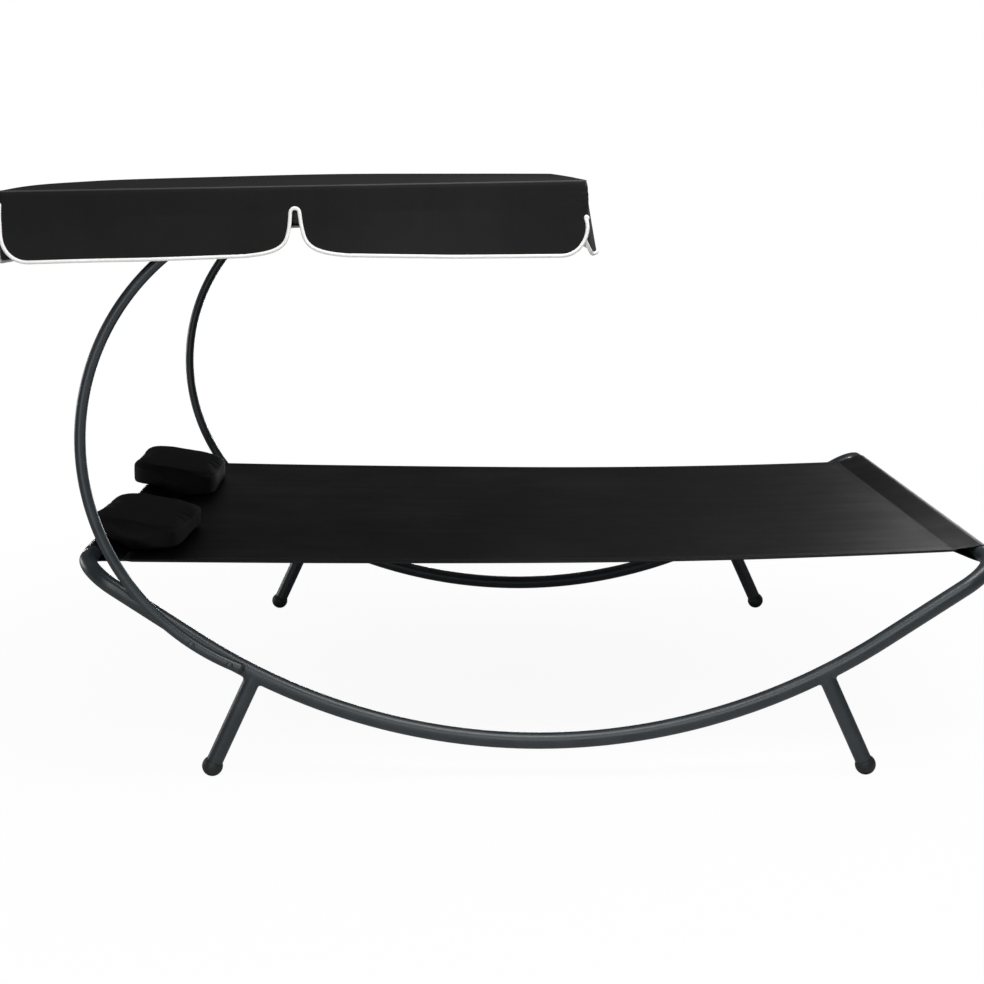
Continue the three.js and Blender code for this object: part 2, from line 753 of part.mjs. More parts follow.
function pivotBolt(side) {
  const head = pivotBoltHead / 2;
  const shank = pivotBoltDiameter / 2;
  const tip = arcDiameter + 2 * gap + bracketThickness + knobBoreDepth - gap;
  const crown = headDome(head, pivotBoltHeadHeight).map(([radius, height]) => [radius, -gap - height]);
  const profile = [...crown.reverse(), [head, -gap], [shank, -gap], [shank, tip], [0, tip]];
  const start = new THREE.Vector3(pivotX, side * (arcY - arcTubeRadius), pivotZ);
  return turned(profile, arcSides, start, new THREE.Vector3(0, side, 0));
}

function pivotKnob(side) {
  const seatY = bracketY + bracketThickness + gap;
  const outline = Array.from({ length: knobLobes * knobLobeSteps }, (_, i) => {
    const angle = (2 * Math.PI * i) / (knobLobes * knobLobeSteps);
    const radius = knobDiameter / 2 - knobBevel - knobLobeDepth * (1 - Math.cos(knobLobes * angle)) / 2;
    return new THREE.Vector2(radius * Math.cos(angle), radius * Math.sin(angle));
  });
  const options = {
    depth: knobThickness - 2 * knobBevel, bevelEnabled: true, bevelThickness: knobBevel,
    bevelSize: knobBevel, bevelSegments: 1, curveSegments: 1,
  };
  const head = new THREE.ExtrudeGeometry(new THREE.Shape(outline), options);
  head.translate(0, 0, knobHubHeight + knobBevel);
  const hubRadius = knobHubDiameter / 2;
  const hub = new THREE.CylinderGeometry(hubRadius, hubRadius, knobHubHeight + knobBevel, knobHubSides);
  hub.rotateX(Math.PI / 2).translate(0, 0, (knobHubHeight + knobBevel) / 2);
  const boreRadius = pivotBoltDiameter / 2 + gap;
  const bore = new THREE.CylinderGeometry(boreRadius, boreRadius, 2 * knobBoreDepth, arcSides);
  bore.rotateX(Math.PI / 2);
  const knob = cut(join(head, hub), bore);
  return knob.rotateX((-side * Math.PI) / 2).translate(pivotX, side * seatY, pivotZ);
}

// Canopy cover: a roof sheet over the tubes, a continuous band, and flaps with rounded corners below it

function roofRise(x, y) {
  const along = (2 * (x - canopyMiddleX)) / canopyLength;
  const across = (2 * y) / canopyWidth;
  const bays = Math.sin(Math.PI * along) ** 2;
  return archHeight(x) * (1 - across * across) - roofSag * bays * (1 - across ** 4);
}

function roof() {
  const place = (u, v) => [canopyMiddleX + (canopyLength / 2) * u, (canopyWidth / 2) * v];
  const top = (u, v) => {
    const [x, y] = place(u, v);
    return [x, y, roofTopZ + roofRise(x, y)];
  };
  const bottom = (u, v) => {
    const [x, y, z] = top(u, v);
    return [x, y, z - coverThickness];
  };
  return twoSidedSkin(top, bottom, roofColumns, roofRows);
}

function band() {
  const box = (length, width, low, high) => {
    const geometry = new THREE.BoxGeometry(length, width, high - low);
    return geometry.translate(canopyMiddleX, 0, (high + low) / 2);
  };
  const low = roofTopZ - bandHeight;
  const outer = box(canopyLength, canopyWidth, low, roofTopZ);
  const innerLength = canopyLength - 2 * coverThickness;
  const innerWidth = canopyWidth - 2 * coverThickness;
  const inner = box(innerLength, innerWidth, low - cutOverrun, roofTopZ + cutOverrun);
  return cut(outer, inner);
}

// Flaps: each is shaped in its own frame, across the flap and down from the roof's edge

const sideFlapWidth = (headSide) => (headSide ? pivotX - canopyHeadX : canopyHeadX + canopyLength - pivotX);

// The lower corners start to round at this drop; rows of the flap grid, from under the band to the edge
const cornerStart = flapDrop - flapCornerRadius;
const cornerTurnShares = [0, 0.3, 0.55, 0.8, 1];
const flapOverlap = 6;
const flapDrops = [
  bandHeight - flapOverlap,
  ...cornerTurnShares.map((share) => cornerStart + flapCornerRadius * Math.sin((share * Math.PI) / 2)),
];

function flapHalfWidth(full, drop) {
  const straight = full / 2 - flapSlitHalfWidth;
  const turn = Math.max(drop - cornerStart, 0) / flapCornerRadius;
  return straight - flapCornerRadius * (1 - Math.sqrt(Math.max(1 - turn * turn, 0)));
}

// How far a flap stands out from the band: a flare towards its edge, and slack waves along it.
// A far flap's waves mirror those of its near twin.
function flapOut(across, drop, { phase, sense }) {
  const depth = Math.max(drop - bandHeight, 0) / (flapDrop - bandHeight);
  const along = sense * across;
  const longWave = Math.sin(along / waveLength + phase);
  const waves = longWave + waveShare * Math.sin(along / shortWaveLength + 2 * phase);
  return depth * (flapFlare * depth + flapWave * waves);
}

function flapGrid(flap) {
  const rows = flapDrops.length - 1;
  const at = (u, v, out) => {
    const drop = flapDrops[Math.round(((v + 1) / 2) * rows)];
    const across = u * flapHalfWidth(flap.width, drop);
    return [across, flapOut(across, drop, flap) + out, -drop];
  };
  return twoSidedSkin((u, v) => at(u, v, 0), (u, v) => at(u, v, -coverThickness), flapColumns, rows);
}

// The eight flaps: where each one's middle is, which way it faces, and how wide it is
const flaps = [];
const sidePhases = [0.4, 1.9];
const endPhases = [2.7, 4.1];
[-1, 1].forEach((side) => {
  [true, false].forEach((headSide) => {
    const width = sideFlapWidth(headSide);
    const middleX = headSide ? canopyHeadX + width / 2 : pivotX + width / 2;
    flaps.push({
      name: `${side < 0 ? 'near' : 'far'}_${headSide ? 'head' : 'foot'}_flap`,
      place: [middleX, (side * canopyWidth) / 2, roofTopZ],
      turn: side < 0 ? Math.PI : 0,
      width,
      phase: sidePhases[headSide ? 0 : 1],
      sense: side,
    });
  });
});
[-1, 1].forEach((end) => {
  [-1, 1].forEach((side) => {
    flaps.push({
      name: `${end < 0 ? 'head' : 'foot'}_end_${side < 0 ? 'near' : 'far'}_flap`,
      place: [canopyMiddleX + (end * canopyLength) / 2, (side * canopyWidth) / 4, roofTopZ],
      turn: (-end * Math.PI) / 2,
      width: canopyWidth / 2,
      phase: endPhases[end < 0 ? 0 : 1],
      sense: side,
    });
  });
});

function placeFlap(geometry, flap) {
  return geometry.rotateZ(flap.turn).translate(...flap.place);
}

function canopyCover() {
  const panels = flaps.map((flap) => placeFlap(flapGrid(flap), flap));
  return join(roof(), band(), ...panels);
}

// Piping: a bead along the free edge of a flap, clear of the cloth by the common gap
class EdgePath extends THREE.Curve {
  constructor(points) {
    super();
    this.points = points;
    this.steps = points.length - 1;
  }

  getPoint(t, target = new THREE.Vector3()) {
    const place = Math.min(Math.max(t, 0), 1) * this.steps;
    const start = Math.min(Math.floor(place), this.steps - 1);
    return target.lerpVectors(this.points[start], this.points[start + 1], place - start);
  }

  getPointAt(u, target) {
    return this.getPoint(u, target);
  }

  getTangentAt(u, target) {
    return this.getTangent(u, target);
  }

  getSpacedPoints() {
    return this.points;
  }
}

function pipingPath(flap) {
  const { width } = flap;
  const stand = pipingDiameter / 2 + gap;
  const cornerAcross = flapHalfWidth(width, flapDrop);
  const edge = (across, drop, outAcross, outDrop) => new THREE.Vector3(
    across + stand * outAcross,
    flapOut(across, drop, flap) - coverThickness / 2,
    -drop - stand * outDrop,
  );
  const flank = (sign) => [bandHeight + stand, ...flapDrops.slice(1)].map((drop) => {
    const turn = (Math.max(drop - cornerStart, 0) / flapCornerRadius) || 0;
    const lift = Math.sqrt(Math.max(1 - turn * turn, 0));
    return edge(sign * flapHalfWidth(width, drop), drop, sign * lift, turn);
  });
  const hem = Array.from({ length: flapColumns - 1 }, (_, i) => {
    return edge(cornerAcross * ((2 * (i + 1)) / flapColumns - 1), flapDrop, 0, 1);
  });
  return new EdgePath([...flank(-1), ...hem, ...flank(1).reverse()]);
}

function piping(flap) {
  return placeFlap(sweep(pipingPath(flap), pipingDiameter / 2, pipingSides), flap);
}

// Assembly

const lounger = new THREE.Group();
const sides = [['near', -1], ['far', 1]];
const ends = [['head', -1], ['foot', 1]];

ends.forEach(([endName, end]) => lounger.add(piece(`${endName}_end_bar`, endBar(end), 'coatedSteel')));
sides.forEach(([sideName, side]) => {
  lounger.add(piece(`${sideName}_side_rail`, sideRail(side), 'coatedSteel'));
  lounger.add(piece(`${sideName}_canopy_arc`, canopyArc(side), 'coatedSteel'));
  lounger.add(piece(`${sideName}_arc_lower_plug`, lowerPlug(side), 'blackPlastic'));
  lounger.add(piece(`${sideName}_arc_upper_plug`, upperPlug(side), 'blackPlastic'));
  arcBoltStationsX.forEach((x, i) => {
    const place = i ? 'lower' : 'upper';
    lounger.add(piece(`${sideName}_arc_${place}_bolt`, arcBolt(x, side), 'zincSteel'));
    lounger.add(piece(`${sideName}_arc_${place}_nut`, arcNut(x, side), 'zincSteel'));
  });
  ends.forEach(([endName, end]) => {
    lounger.add(piece(`${sideName}_${endName}_leg`, leg(end, side), 'coatedSteel'));
    lounger.add(piece(`${sideName}_${endName}_foot_cap`, footCap(end, side), 'blackPlastic'));
    lounger.add(piece(`${sideName}_${endName}_joint_screw`, jointScrew(end, side), 'zincSteel'));
  });
  lounger.add(piece(`${sideName}_pivot_bolt`, pivotBolt(side), 'zincSteel'));
  lounger.add(piece(`${sideName}_pivot_knob`, pivotKnob(side), 'blackPlastic'));
  lounger.add(placePillow(piece(`${sideName}_pillow`, pillow(), 'pillowFabric'), side));
});
lounger.add(piece('bed_sling', bedSling(), 'slingFabric'));

const canopy = new THREE.Group();
sides.forEach(([sideName, side]) => {
  canopy.add(piece(`${sideName}_canopy_side_rail`, canopySideRail(side), 'coatedSteel'));
  canopy.add(piece(`${sideName}_pivot_bracket`, pivotBracket(side), 'coatedSteel'));
});
['head', 'middle', 'foot'].forEach((place, i) => {
  canopy.add(piece(`${place}_canopy_bar`, canopyBar(canopyBarsX[i]), 'coatedSteel'));
});
canopy.add(piece('canopy_cover', canopyCover(), 'canopyFabric'));
flaps.forEach((flap) => canopy.add(piece(`${flap.name}_piping`, piping(flap), 'whitePiping')));

// The canopy at rest: foot end a little up, turned about the pivot line
const pivot = new THREE.Vector3(pivotX, 0, pivotZ);
canopy.rotation.y = -canopyRestTilt;
canopy.position.copy(pivot).sub(pivot.clone().applyAxisAngle(new THREE.Vector3(0, 1, 0), -canopyRestTilt));
lounger.add(canopy);

// The origin is on the floor, below the middle of the whole object
lounger.updateMatrixWorld(true);
const box = new THREE.Box3().setFromObject(lounger, true);
lounger.position.x = -(box.min.x + box.max.x) / 2;

export default lounger;
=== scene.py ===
# %% [markdown]
# # A sun lounger with a canopy
#
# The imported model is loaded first. It is the fixed frame of this file: every piece below is made in the
# same place and at the same size, in metres, and rides on one of its bodies.

# %% Load the frame
import json
import math

import bmesh
import bpy
from mathutils import Matrix, Vector


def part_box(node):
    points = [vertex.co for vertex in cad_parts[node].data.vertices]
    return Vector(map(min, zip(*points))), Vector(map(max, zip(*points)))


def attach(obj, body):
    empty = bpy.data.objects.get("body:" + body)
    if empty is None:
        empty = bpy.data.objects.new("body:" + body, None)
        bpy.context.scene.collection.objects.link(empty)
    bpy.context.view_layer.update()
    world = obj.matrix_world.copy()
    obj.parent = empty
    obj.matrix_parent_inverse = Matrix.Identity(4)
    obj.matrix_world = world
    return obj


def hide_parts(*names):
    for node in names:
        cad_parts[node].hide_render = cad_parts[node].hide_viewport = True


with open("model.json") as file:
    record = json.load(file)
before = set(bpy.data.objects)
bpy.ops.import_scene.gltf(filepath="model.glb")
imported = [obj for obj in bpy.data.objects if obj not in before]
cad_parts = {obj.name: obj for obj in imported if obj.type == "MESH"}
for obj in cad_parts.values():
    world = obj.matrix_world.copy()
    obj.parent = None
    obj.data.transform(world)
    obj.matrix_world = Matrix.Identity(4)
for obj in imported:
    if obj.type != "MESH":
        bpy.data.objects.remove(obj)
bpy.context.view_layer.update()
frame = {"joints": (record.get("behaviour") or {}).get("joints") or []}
MM = 0.001
SIDES = {"near": -1, "far": 1}
ENDS = {"head": -1, "foot": 1}
joint_places = {joint["name"]: joint.get("pos_m") for joint in frame["joints"]}

# %% [markdown]
# ## Sizes
#
# The driving sizes are the real ones of the tubes and the cloth. Everything that the frame can tell, such
# as where the bed's middle, the pivot and the floor are, is read from it.

# %% Driving sizes and places
def centre_of(node):
    low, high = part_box(node)
    return (low + high) / 2


bed_x = centre_of("bed_sling").x
pivot = Vector(joint_places["canopy_tilt"])

RAIL_RADIUS = 19 * MM
RAIL_SPACING = 1570 * MM
BOW_RADIUS = 1404 * MM
BOW_LOWEST = 81 * MM
BOW_ANGLE = math.radians(34)
END_BAR_REACH = 1040 * MM
CORNER_RADIUS = 90 * MM
RAIL_END_STRAIGHT = 34 * MM
ARC_TUBE_RADIUS = 12.5 * MM
ARC_RADIUS = 544 * MM
ARC_BLEND_RISE = 421 * MM
ARC_BEYOND_PIVOT = 18 * MM

rail_y = RAIL_SPACING / 2
bow_centre_z = BOW_LOWEST + BOW_RADIUS
bow_end = Vector((BOW_RADIUS * math.sin(BOW_ANGLE), 0, bow_centre_z - BOW_RADIUS * math.cos(BOW_ANGLE)))
end_bar_z = bow_end.z + (END_BAR_REACH - bow_end.x) * math.tan(BOW_ANGLE)
rail_joint_y = rail_y - CORNER_RADIUS - RAIL_END_STRAIGHT
print("end bars at height", round(end_bar_z, 4), "rail planes at", rail_y)

# %% [markdown]
# ## Working by hand
#
# Small helpers keep the steps short: one leaves nothing selected, one gives the new primitive its name, one
# closes what is still open, and one draws a cord. They could be typed out at each piece, but then a slip
# in one of them would hide among the copies. A piece always ends with its place in its mesh and its object
# at the origin.

# %% Selecting and naming
def nothing_selected():
    if bpy.context.object and bpy.context.object.mode != "OBJECT":
        bpy.ops.object.mode_set(mode="OBJECT")
    bpy.ops.object.select_all(action="DESELECT")


def take(name):
    piece = bpy.context.object
    piece.name = name
    piece.data.name = name
    bpy.ops.object.transform_apply(location=True, rotation=True, scale=True)
    return piece


def only(piece):
    nothing_selected()
    bpy.context.view_layer.objects.active = piece
    piece.select_set(True)
    return piece


def edit(piece, mode="VERT"):
    only(piece)
    bpy.ops.object.mode_set(mode="EDIT")
    bpy.ops.mesh.select_mode(type=mode)
    bpy.ops.mesh.select_all(action="DESELECT")


def object_mode():
    bpy.ops.object.mode_set(mode="OBJECT")


# %% Finishing and measuring a mesh
def apply_modifiers(piece):
    only(piece)
    for modifier in list(piece.modifiers):
        bpy.ops.object.modifier_apply(modifier=modifier.name)


def smooth(piece, degrees):
    only(piece)
    bpy.ops.object.shade_smooth_by_angle(angle=math.radians(degrees))
    return piece


def faces_outward(piece):
    edit(piece)
    bpy.ops.mesh.select_all(action="SELECT")
    bpy.ops.mesh.normals_make_consistent(inside=False)
    object_mode()


def close_holes(piece, degrees):
    """Ends the edit of a piece: every open rim gets a face, and all faces point outwards."""
    bpy.ops.mesh.select_all(action="DESELECT")
    bpy.ops.mesh.select_mode(type="EDGE")
    bpy.ops.mesh.select_non_manifold()
    bpy.ops.mesh.edge_face_add()
    object_mode()
    faces_outward(piece)
    return smooth(piece, degrees)


def make_finer(piece):
    """One level of subdivision, applied."""
    finer = piece.modifiers.new("finer", "SUBSURF")
    finer.levels = 1
    finer.render_levels = 1
    apply_modifiers(piece)


def measured(piece):
    """The size of a piece along X, Y and Z, in millimetres."""
    sizes = []
    for axis in range(3):
        values = [vert.co[axis] for vert in piece.data.vertices]
        sizes.append(round((max(values) - min(values)) / MM, 1))
    return sizes


# %% Objects and cords from a bmesh
CORD_ROUNDNESS = 3
CORD_SMOOTHING = 60


def new_piece(name, mesh):
    """An object whose mesh is a bmesh's; the bmesh is used up."""
    data = bpy.data.meshes.new(name)
    mesh.to_mesh(data)
    mesh.free()
    piece = bpy.data.objects.new(name, data)
    bpy.context.scene.collection.objects.link(piece)
    return piece


def cord_along(name, line, radius):
    """A round cord along the edges of a bmesh."""
    cord = only(new_piece(name, line))
    bpy.ops.object.convert(target="CURVE")
    cord.data.bevel_depth = radius
    cord.data.bevel_resolution = CORD_ROUNDNESS
    cord.data.use_fill_caps = True
    bpy.ops.object.convert(target="MESH")
    cord = bpy.context.object
    faces_outward(cord)
    return smooth(cord, CORD_SMOOTHING)


# %% Moving, copying and joining
def put(piece, matrix):
    piece.data.transform(matrix)
    piece.data.update()
    return piece


def copy_of(piece, name, matrix=Matrix.Identity(4)):
    twin = piece.copy()
    twin.data = piece.data.copy()
    twin.name = name
    twin.data.name = name
    bpy.context.scene.collection.objects.link(twin)
    twin.data.transform(matrix)
    if matrix.determinant() < 0:
        twin.data.flip_normals()
    return twin


def join_pieces(name, pieces):
    nothing_selected()
    for piece in pieces:
        piece.select_set(True)
    bpy.context.view_layer.objects.active = pieces[0]
    bpy.ops.object.join()
    return take(name)


# Directions at the near side, and a mirror image across the bed's middle plane
outward = Vector((0, -1, 0))
inward = Vector((0, 1, 0))
ACROSS = Matrix.Scale(-1, 4, (0, 1, 0))
print("mirror across the bed:", [round(value) for value in ACROSS.to_scale()])

# %% [markdown]
# ## Shader groups
#
# Four effects are used by more than one finish. Their nodes could be placed in every material again, but
# as a group with named inputs each is built once, and a material only sets its values. Groups put out
# values alone; the shader itself stays in each material.

# %% Node helpers
def new_group(name, inputs, outputs):
    group = bpy.data.node_groups.new(name, "ShaderNodeTree")
    for label, kind, value in inputs:
        socket = group.interface.new_socket(name=label, in_out="INPUT", socket_type=kind)
        if value is not None:
            socket.default_value = value
    for label, kind in outputs:
        group.interface.new_socket(name=label, in_out="OUTPUT", socket_type=kind)
    return group, group.nodes.new("NodeGroupInput"), group.nodes.new("NodeGroupOutput")


def wire(tree, pairs):
    for source, target in pairs:
        tree.links.new(source, target)


def maths(tree, operation, first, second=None, clamp=False):
    node = tree.nodes.new("ShaderNodeMath")
    node.operation = operation
    node.use_clamp = clamp
    for socket, value in zip(node.inputs, (first, second)):
        if value is None:
            continue
        if isinstance(value, (int, float)):
            socket.default_value = value
        else:
            tree.links.new(value, socket)
    return node.outputs[0]


def noise(tree, vector, scale, detail=2.0, roughness=0.5):
    node = tree.nodes.new("ShaderNodeTexNoise")
    node.inputs["Detail"].default_value = detail
    node.inputs["Roughness"].default_value = roughness
    tree.links.new(vector, node.inputs["Vector"])
    if isinstance(scale, (int, float)):
        node.inputs["Scale"].default_value = scale
    else:
        tree.links.new(scale, node.inputs["Scale"])
    return node.outputs["Fac"]


# %% [markdown]
# ## Powder coat
#
# Baked powder has a fine orange peel, and a little dust settles on it. A plain glossy paint would be
# simpler, but looks like plastic. Two noises give both: a fine one for height and a broad one for dust.

# %% The powder coat's group
DUST_LEVEL = 0.42


def make_coat_group():
    inputs = [
        ("Vector", "NodeSocketVector", None),
        ("Peel Scale", "NodeSocketFloat", 900.0),
        ("Dust", "NodeSocketFloat", 0.12),
    ]
    outputs = [("Height", "NodeSocketFloat"), ("Dust Mask", "NodeSocketFloat")]
    group, source, target = new_group("Powder coat", inputs, outputs)
    peel = noise(group, source.outputs["Vector"], source.outputs["Peel Scale"], detail=1.5)
    dust = noise(group, source.outputs["Vector"], scale=14.0, detail=5.0, roughness=0.62)
    lifted = maths(group, "SUBTRACT", dust, DUST_LEVEL, clamp=True)
    mask = maths(group, "MULTIPLY", lifted, source.outputs["Dust"])
    wire(group, [(peel, target.inputs["Height"]), (mask, target.inputs["Dust Mask"])])
    return group


coat_group = make_coat_group()
print("group", coat_group.name, "with", len(coat_group.nodes), "nodes")

# %% [markdown]
# ## Plain weave
#
# In a plain weave each thread goes over and under the next. A picture of cloth would repeat visibly, so
# two crossed sine waves over the flat cloth give the threads, and two stretched noises give the thicker
# and thinner yarns that real cloth shows as streaks.

# %% The weave's group
STREAK_SCALES = ((160.0, 2.0), (16.0, 0.5))


def make_weave_group():
    inputs = [
        ("Vector", "NodeSocketVector", None),
        ("Threads Per Metre", "NodeSocketFloat", 1100.0),
        ("Slub", "NodeSocketFloat", 0.35),
    ]
    outputs = [("Height", "NodeSocketFloat"), ("Thread Shade", "NodeSocketFloat")]
    group, source, target = new_group("Plain weave", inputs, outputs)
    split = group.nodes.new("ShaderNodeSeparateXYZ")
    wire(group, [(source.outputs["Vector"], split.inputs[0])])
    turn = maths(group, "MULTIPLY", source.outputs["Threads Per Metre"], math.pi)
    warp = maths(group, "SINE", maths(group, "MULTIPLY", split.outputs[0], turn))
    weft = maths(group, "SINE", maths(group, "MULTIPLY", split.outputs[1], turn))
    crossing = maths(group, "MULTIPLY", warp, weft)
    height = maths(group, "ADD", maths(group, "MULTIPLY", crossing, 0.5), 0.5)
    streaks = []
    for across, along in STREAK_SCALES:
        stretch = group.nodes.new("ShaderNodeMapping")
        stretch.inputs["Scale"].default_value = (across, along, 1.0)
        wire(group, [(source.outputs["Vector"], stretch.inputs["Vector"])])
        streak = noise(group, stretch.outputs[0], scale=1.0, detail=3.0, roughness=0.6)
        streaks.append(maths(group, "SUBTRACT", streak, 0.5))
    shade = maths(group, "MULTIPLY", maths(group, "ADD", *streaks), source.outputs["Slub"])
    wire(group, [(height, target.inputs["Height"]), (shade, target.inputs["Thread Shade"])])
    return group


weave_group = make_weave_group()
print("group", weave_group.name, "with", len(weave_group.nodes), "nodes")

# %% [markdown]
# ## Uneven cloth
#
# No cloth is one flat colour: it has broad soft patches, and small creases from being packed. Creases could
# be modelled, but they are finer than the mesh, so one noise is used for patches and one for creases.

# %% The unevenness group
def make_uneven_group():
    inputs = [
        ("Vector", "NodeSocketVector", None),
        ("Patch Scale", "NodeSocketFloat", 3.0),
        ("Crease Scale", "NodeSocketFloat", 22.0),
    ]
    outputs = [("Patches", "NodeSocketFloat"), ("Creases", "NodeSocketFloat")]
    group, source, target = new_group("Uneven cloth", inputs, outputs)
    place = source.outputs["Vector"]
    patches = noise(group, place, source.outputs["Patch Scale"], detail=3.0, roughness=0.55)
    creases = noise(group, place, source.outputs["Crease Scale"], detail=4.0, roughness=0.6)
    wire(group, [(patches, target.inputs["Patches"]), (creases, target.inputs["Creases"])])
    return group


uneven_group = make_uneven_group()
print("group", uneven_group.name, "with", len(uneven_group.nodes), "nodes")

# %% [markdown]
# ## Rows of stitches
#
# Hems and pockets are sewn with thick thread. Thousands of small thread loops could be modelled, but at
# two millimetres they would only flicker, so each row is a mask on the flat cloth: near its line, and
# broken at every stitch.

# %% The stitches' group
STITCH_HALF_WIDTH = 1.3 * MM
STITCH_PITCH = 4 * MM
STITCH_GAP = -0.6


def make_stitch_group():
    inputs = [("From Line", "NodeSocketFloat", 1.0), ("Along Line", "NodeSocketFloat", 0.0)]
    group, source, target = new_group("Stitch row", inputs, [("Thread Mask", "NodeSocketFloat")])
    across = maths(group, "DIVIDE", source.outputs["From Line"], STITCH_HALF_WIDTH)
    thread = maths(group, "SUBTRACT", 1.0, maths(group, "POWER", across, 2.0), clamp=True)
    turn = maths(group, "MULTIPLY", source.outputs["Along Line"], 2 * math.pi / STITCH_PITCH)
    stitched = maths(group, "GREATER_THAN", maths(group, "SINE", turn), STITCH_GAP)
    wire(group, [(maths(group, "MULTIPLY", thread, stitched), target.inputs["Thread Mask"])])
    return group


stitch_group = make_stitch_group()
print("group", stitch_group.name, "with", len(stitch_group.nodes), "nodes")


# %% [markdown]
# ## Materials
#
# The tubes have a satin anthracite powder coat, the small parts are moulded or zinc plated, the bed is a
# coated mesh, the pillows and the cover are matt polyester, and the binding is white tape. Pictures
# could carry such finishes, but they fix the scale and show their edges, so each finish is made of nodes
# that read the place on the object, or on the flat cloth. Colours are written as seen in an image and are
# turned into linear light here.

# %% Material helpers
def linear(hex_colour):
    values = [int(hex_colour[i:i + 2], 16) / 255 for i in (1, 3, 5)]
    return [v / 12.92 if v <= 0.04045 else ((v + 0.055) / 1.055) ** 2.4 for v in values] + [1.0]


def new_material(name, roughness, specular=0.5):
    material = bpy.data.materials.new(name)
    material.use_nodes = True
    tree = material.node_tree
    shader = tree.nodes["Principled BSDF"]
    shader.inputs["Roughness"].default_value = roughness
    shader.inputs["Specular IOR Level"].default_value = specular
    return material, tree, shader


def place_group(tree, group, vector, **values):
    node = tree.nodes.new("ShaderNodeGroup")
    node.node_tree = group
    tree.links.new(vector, node.inputs["Vector"])
    for label, value in values.items():
        node.inputs[label.replace("_", " ")].default_value = value
    return node


def coordinates(tree, kind="Object"):
    return tree.nodes.new("ShaderNodeTexCoord").outputs[kind]


def mixed_colour(tree, factor, first, second):
    """Each colour is a hex string or another node's output."""
    mix = tree.nodes.new("ShaderNodeMix")
    mix.data_type = "RGBA"
    for label, colour in (("A", first), ("B", second)):
        if isinstance(colour, str):
            mix.inputs[label].default_value = linear(colour)
        else:
            tree.links.new(colour, mix.inputs[label])
    tree.links.new(factor, mix.inputs["Factor"])
    return mix.outputs["Result"]


def bump(tree, height, distance, strength=1.0, below=None):
    node = tree.nodes.new("ShaderNodeBump")
    node.inputs["Distance"].default_value = distance
    node.inputs["Strength"].default_value = strength
    tree.links.new(height, node.inputs["Height"])
    if below is not None:
        tree.links.new(below, node.inputs["Normal"])
    return node.outputs["Normal"]


# %% Coated steel, zinc and moulded plastic
STEEL_ROUGHNESS = 0.34
STEEL_DUST_ROUGHNESS = 0.6
STEEL_PEEL_DEPTH = 0.12 * MM
PLASTIC_GRAIN_DEPTH = 0.08 * MM
ZINC_ROUGHNESS = 0.3


def make_coated_steel():
    material, tree, shader = new_material("coated_steel", roughness=0.4)
    coat = place_group(tree, coat_group, coordinates(tree), Peel_Scale=900.0, Dust=0.5)
    colour = mixed_colour(tree, coat.outputs["Dust Mask"], "#262d31", "#50575b")
    dusty = maths(tree, "MULTIPLY", coat.outputs["Dust Mask"], STEEL_DUST_ROUGHNESS)
    rough = maths(tree, "ADD", dusty, STEEL_ROUGHNESS)
    normal = bump(tree, coat.outputs["Height"], STEEL_PEEL_DEPTH, strength=0.5)
    wire(tree, [(colour, shader.inputs["Base Color"]), (rough, shader.inputs["Roughness"]),
                (normal, shader.inputs["Normal"])])
    return material


def make_plastic(name, colour, worn, roughness):
    material, tree, shader = new_material(name, roughness, specular=0.4)
    coat = place_group(tree, coat_group, coordinates(tree), Peel_Scale=1600.0, Dust=0.8)
    shade = mixed_colour(tree, coat.outputs["Dust Mask"], colour, worn)
    normal = bump(tree, coat.outputs["Height"], PLASTIC_GRAIN_DEPTH, strength=0.6)
    wire(tree, [(shade, shader.inputs["Base Color"]), (normal, shader.inputs["Normal"])])
    return material


def make_zinc():
    material, tree, shader = new_material("zinc_steel", roughness=0.35)
    shader.inputs["Metallic"].default_value = 0.9
    coat = place_group(tree, coat_group, coordinates(tree), Peel_Scale=2200.0, Dust=1.5)
    shade = mixed_colour(tree, coat.outputs["Dust Mask"], "#8d9295", "#5d6163")
    rough = maths(tree, "ADD", coat.outputs["Dust Mask"], ZINC_ROUGHNESS)
    wire(tree, [(shade, shader.inputs["Base Color"]), (rough, shader.inputs["Roughness"])])
    return material


coated_steel = make_coated_steel()
black_plastic = make_plastic("black_plastic", "#191c1c", "#3a3d3d", roughness=0.55)
knob_plastic = make_plastic("knob_plastic", "#090a0a", "#1c1d1d", roughness=0.6)
zinc_steel = make_zinc()
print("hard finishes:", [finish.name for finish in (coated_steel, black_plastic, knob_plastic, zinc_steel)])


# %% Cloth, from its weave, its creases and its rows of stitches
PATCH_LEVEL = 0.35
PATCH_CONTRAST = 1.6
ROUGHNESS_SPREAD = 0.08
THREAD_COLOUR = "#464647"
STITCH_DEPTH = 0.3 * MM


def stitch_rows(tree, flat, rows):
    """A mask of several rows: each is an axis of the flat cloth, and a distance from its middle."""
    split = tree.nodes.new("ShaderNodeSeparateXYZ")
    wire(tree, [(flat, split.inputs[0])])
    mask = None
    for axis, distance in rows:
        from_middle = maths(tree, "ABSOLUTE", split.outputs[axis])
        from_line = maths(tree, "ABSOLUTE", maths(tree, "SUBTRACT", from_middle, distance))
        node = tree.nodes.new("ShaderNodeGroup")
        node.node_tree = stitch_group
        along = split.outputs[1 - axis]
        wire(tree, [(from_line, node.inputs["From Line"]), (along, node.inputs["Along Line"])])
        row = node.outputs["Thread Mask"]
        mask = row if mask is None else maths(tree, "MAXIMUM", mask, row)
    return mask


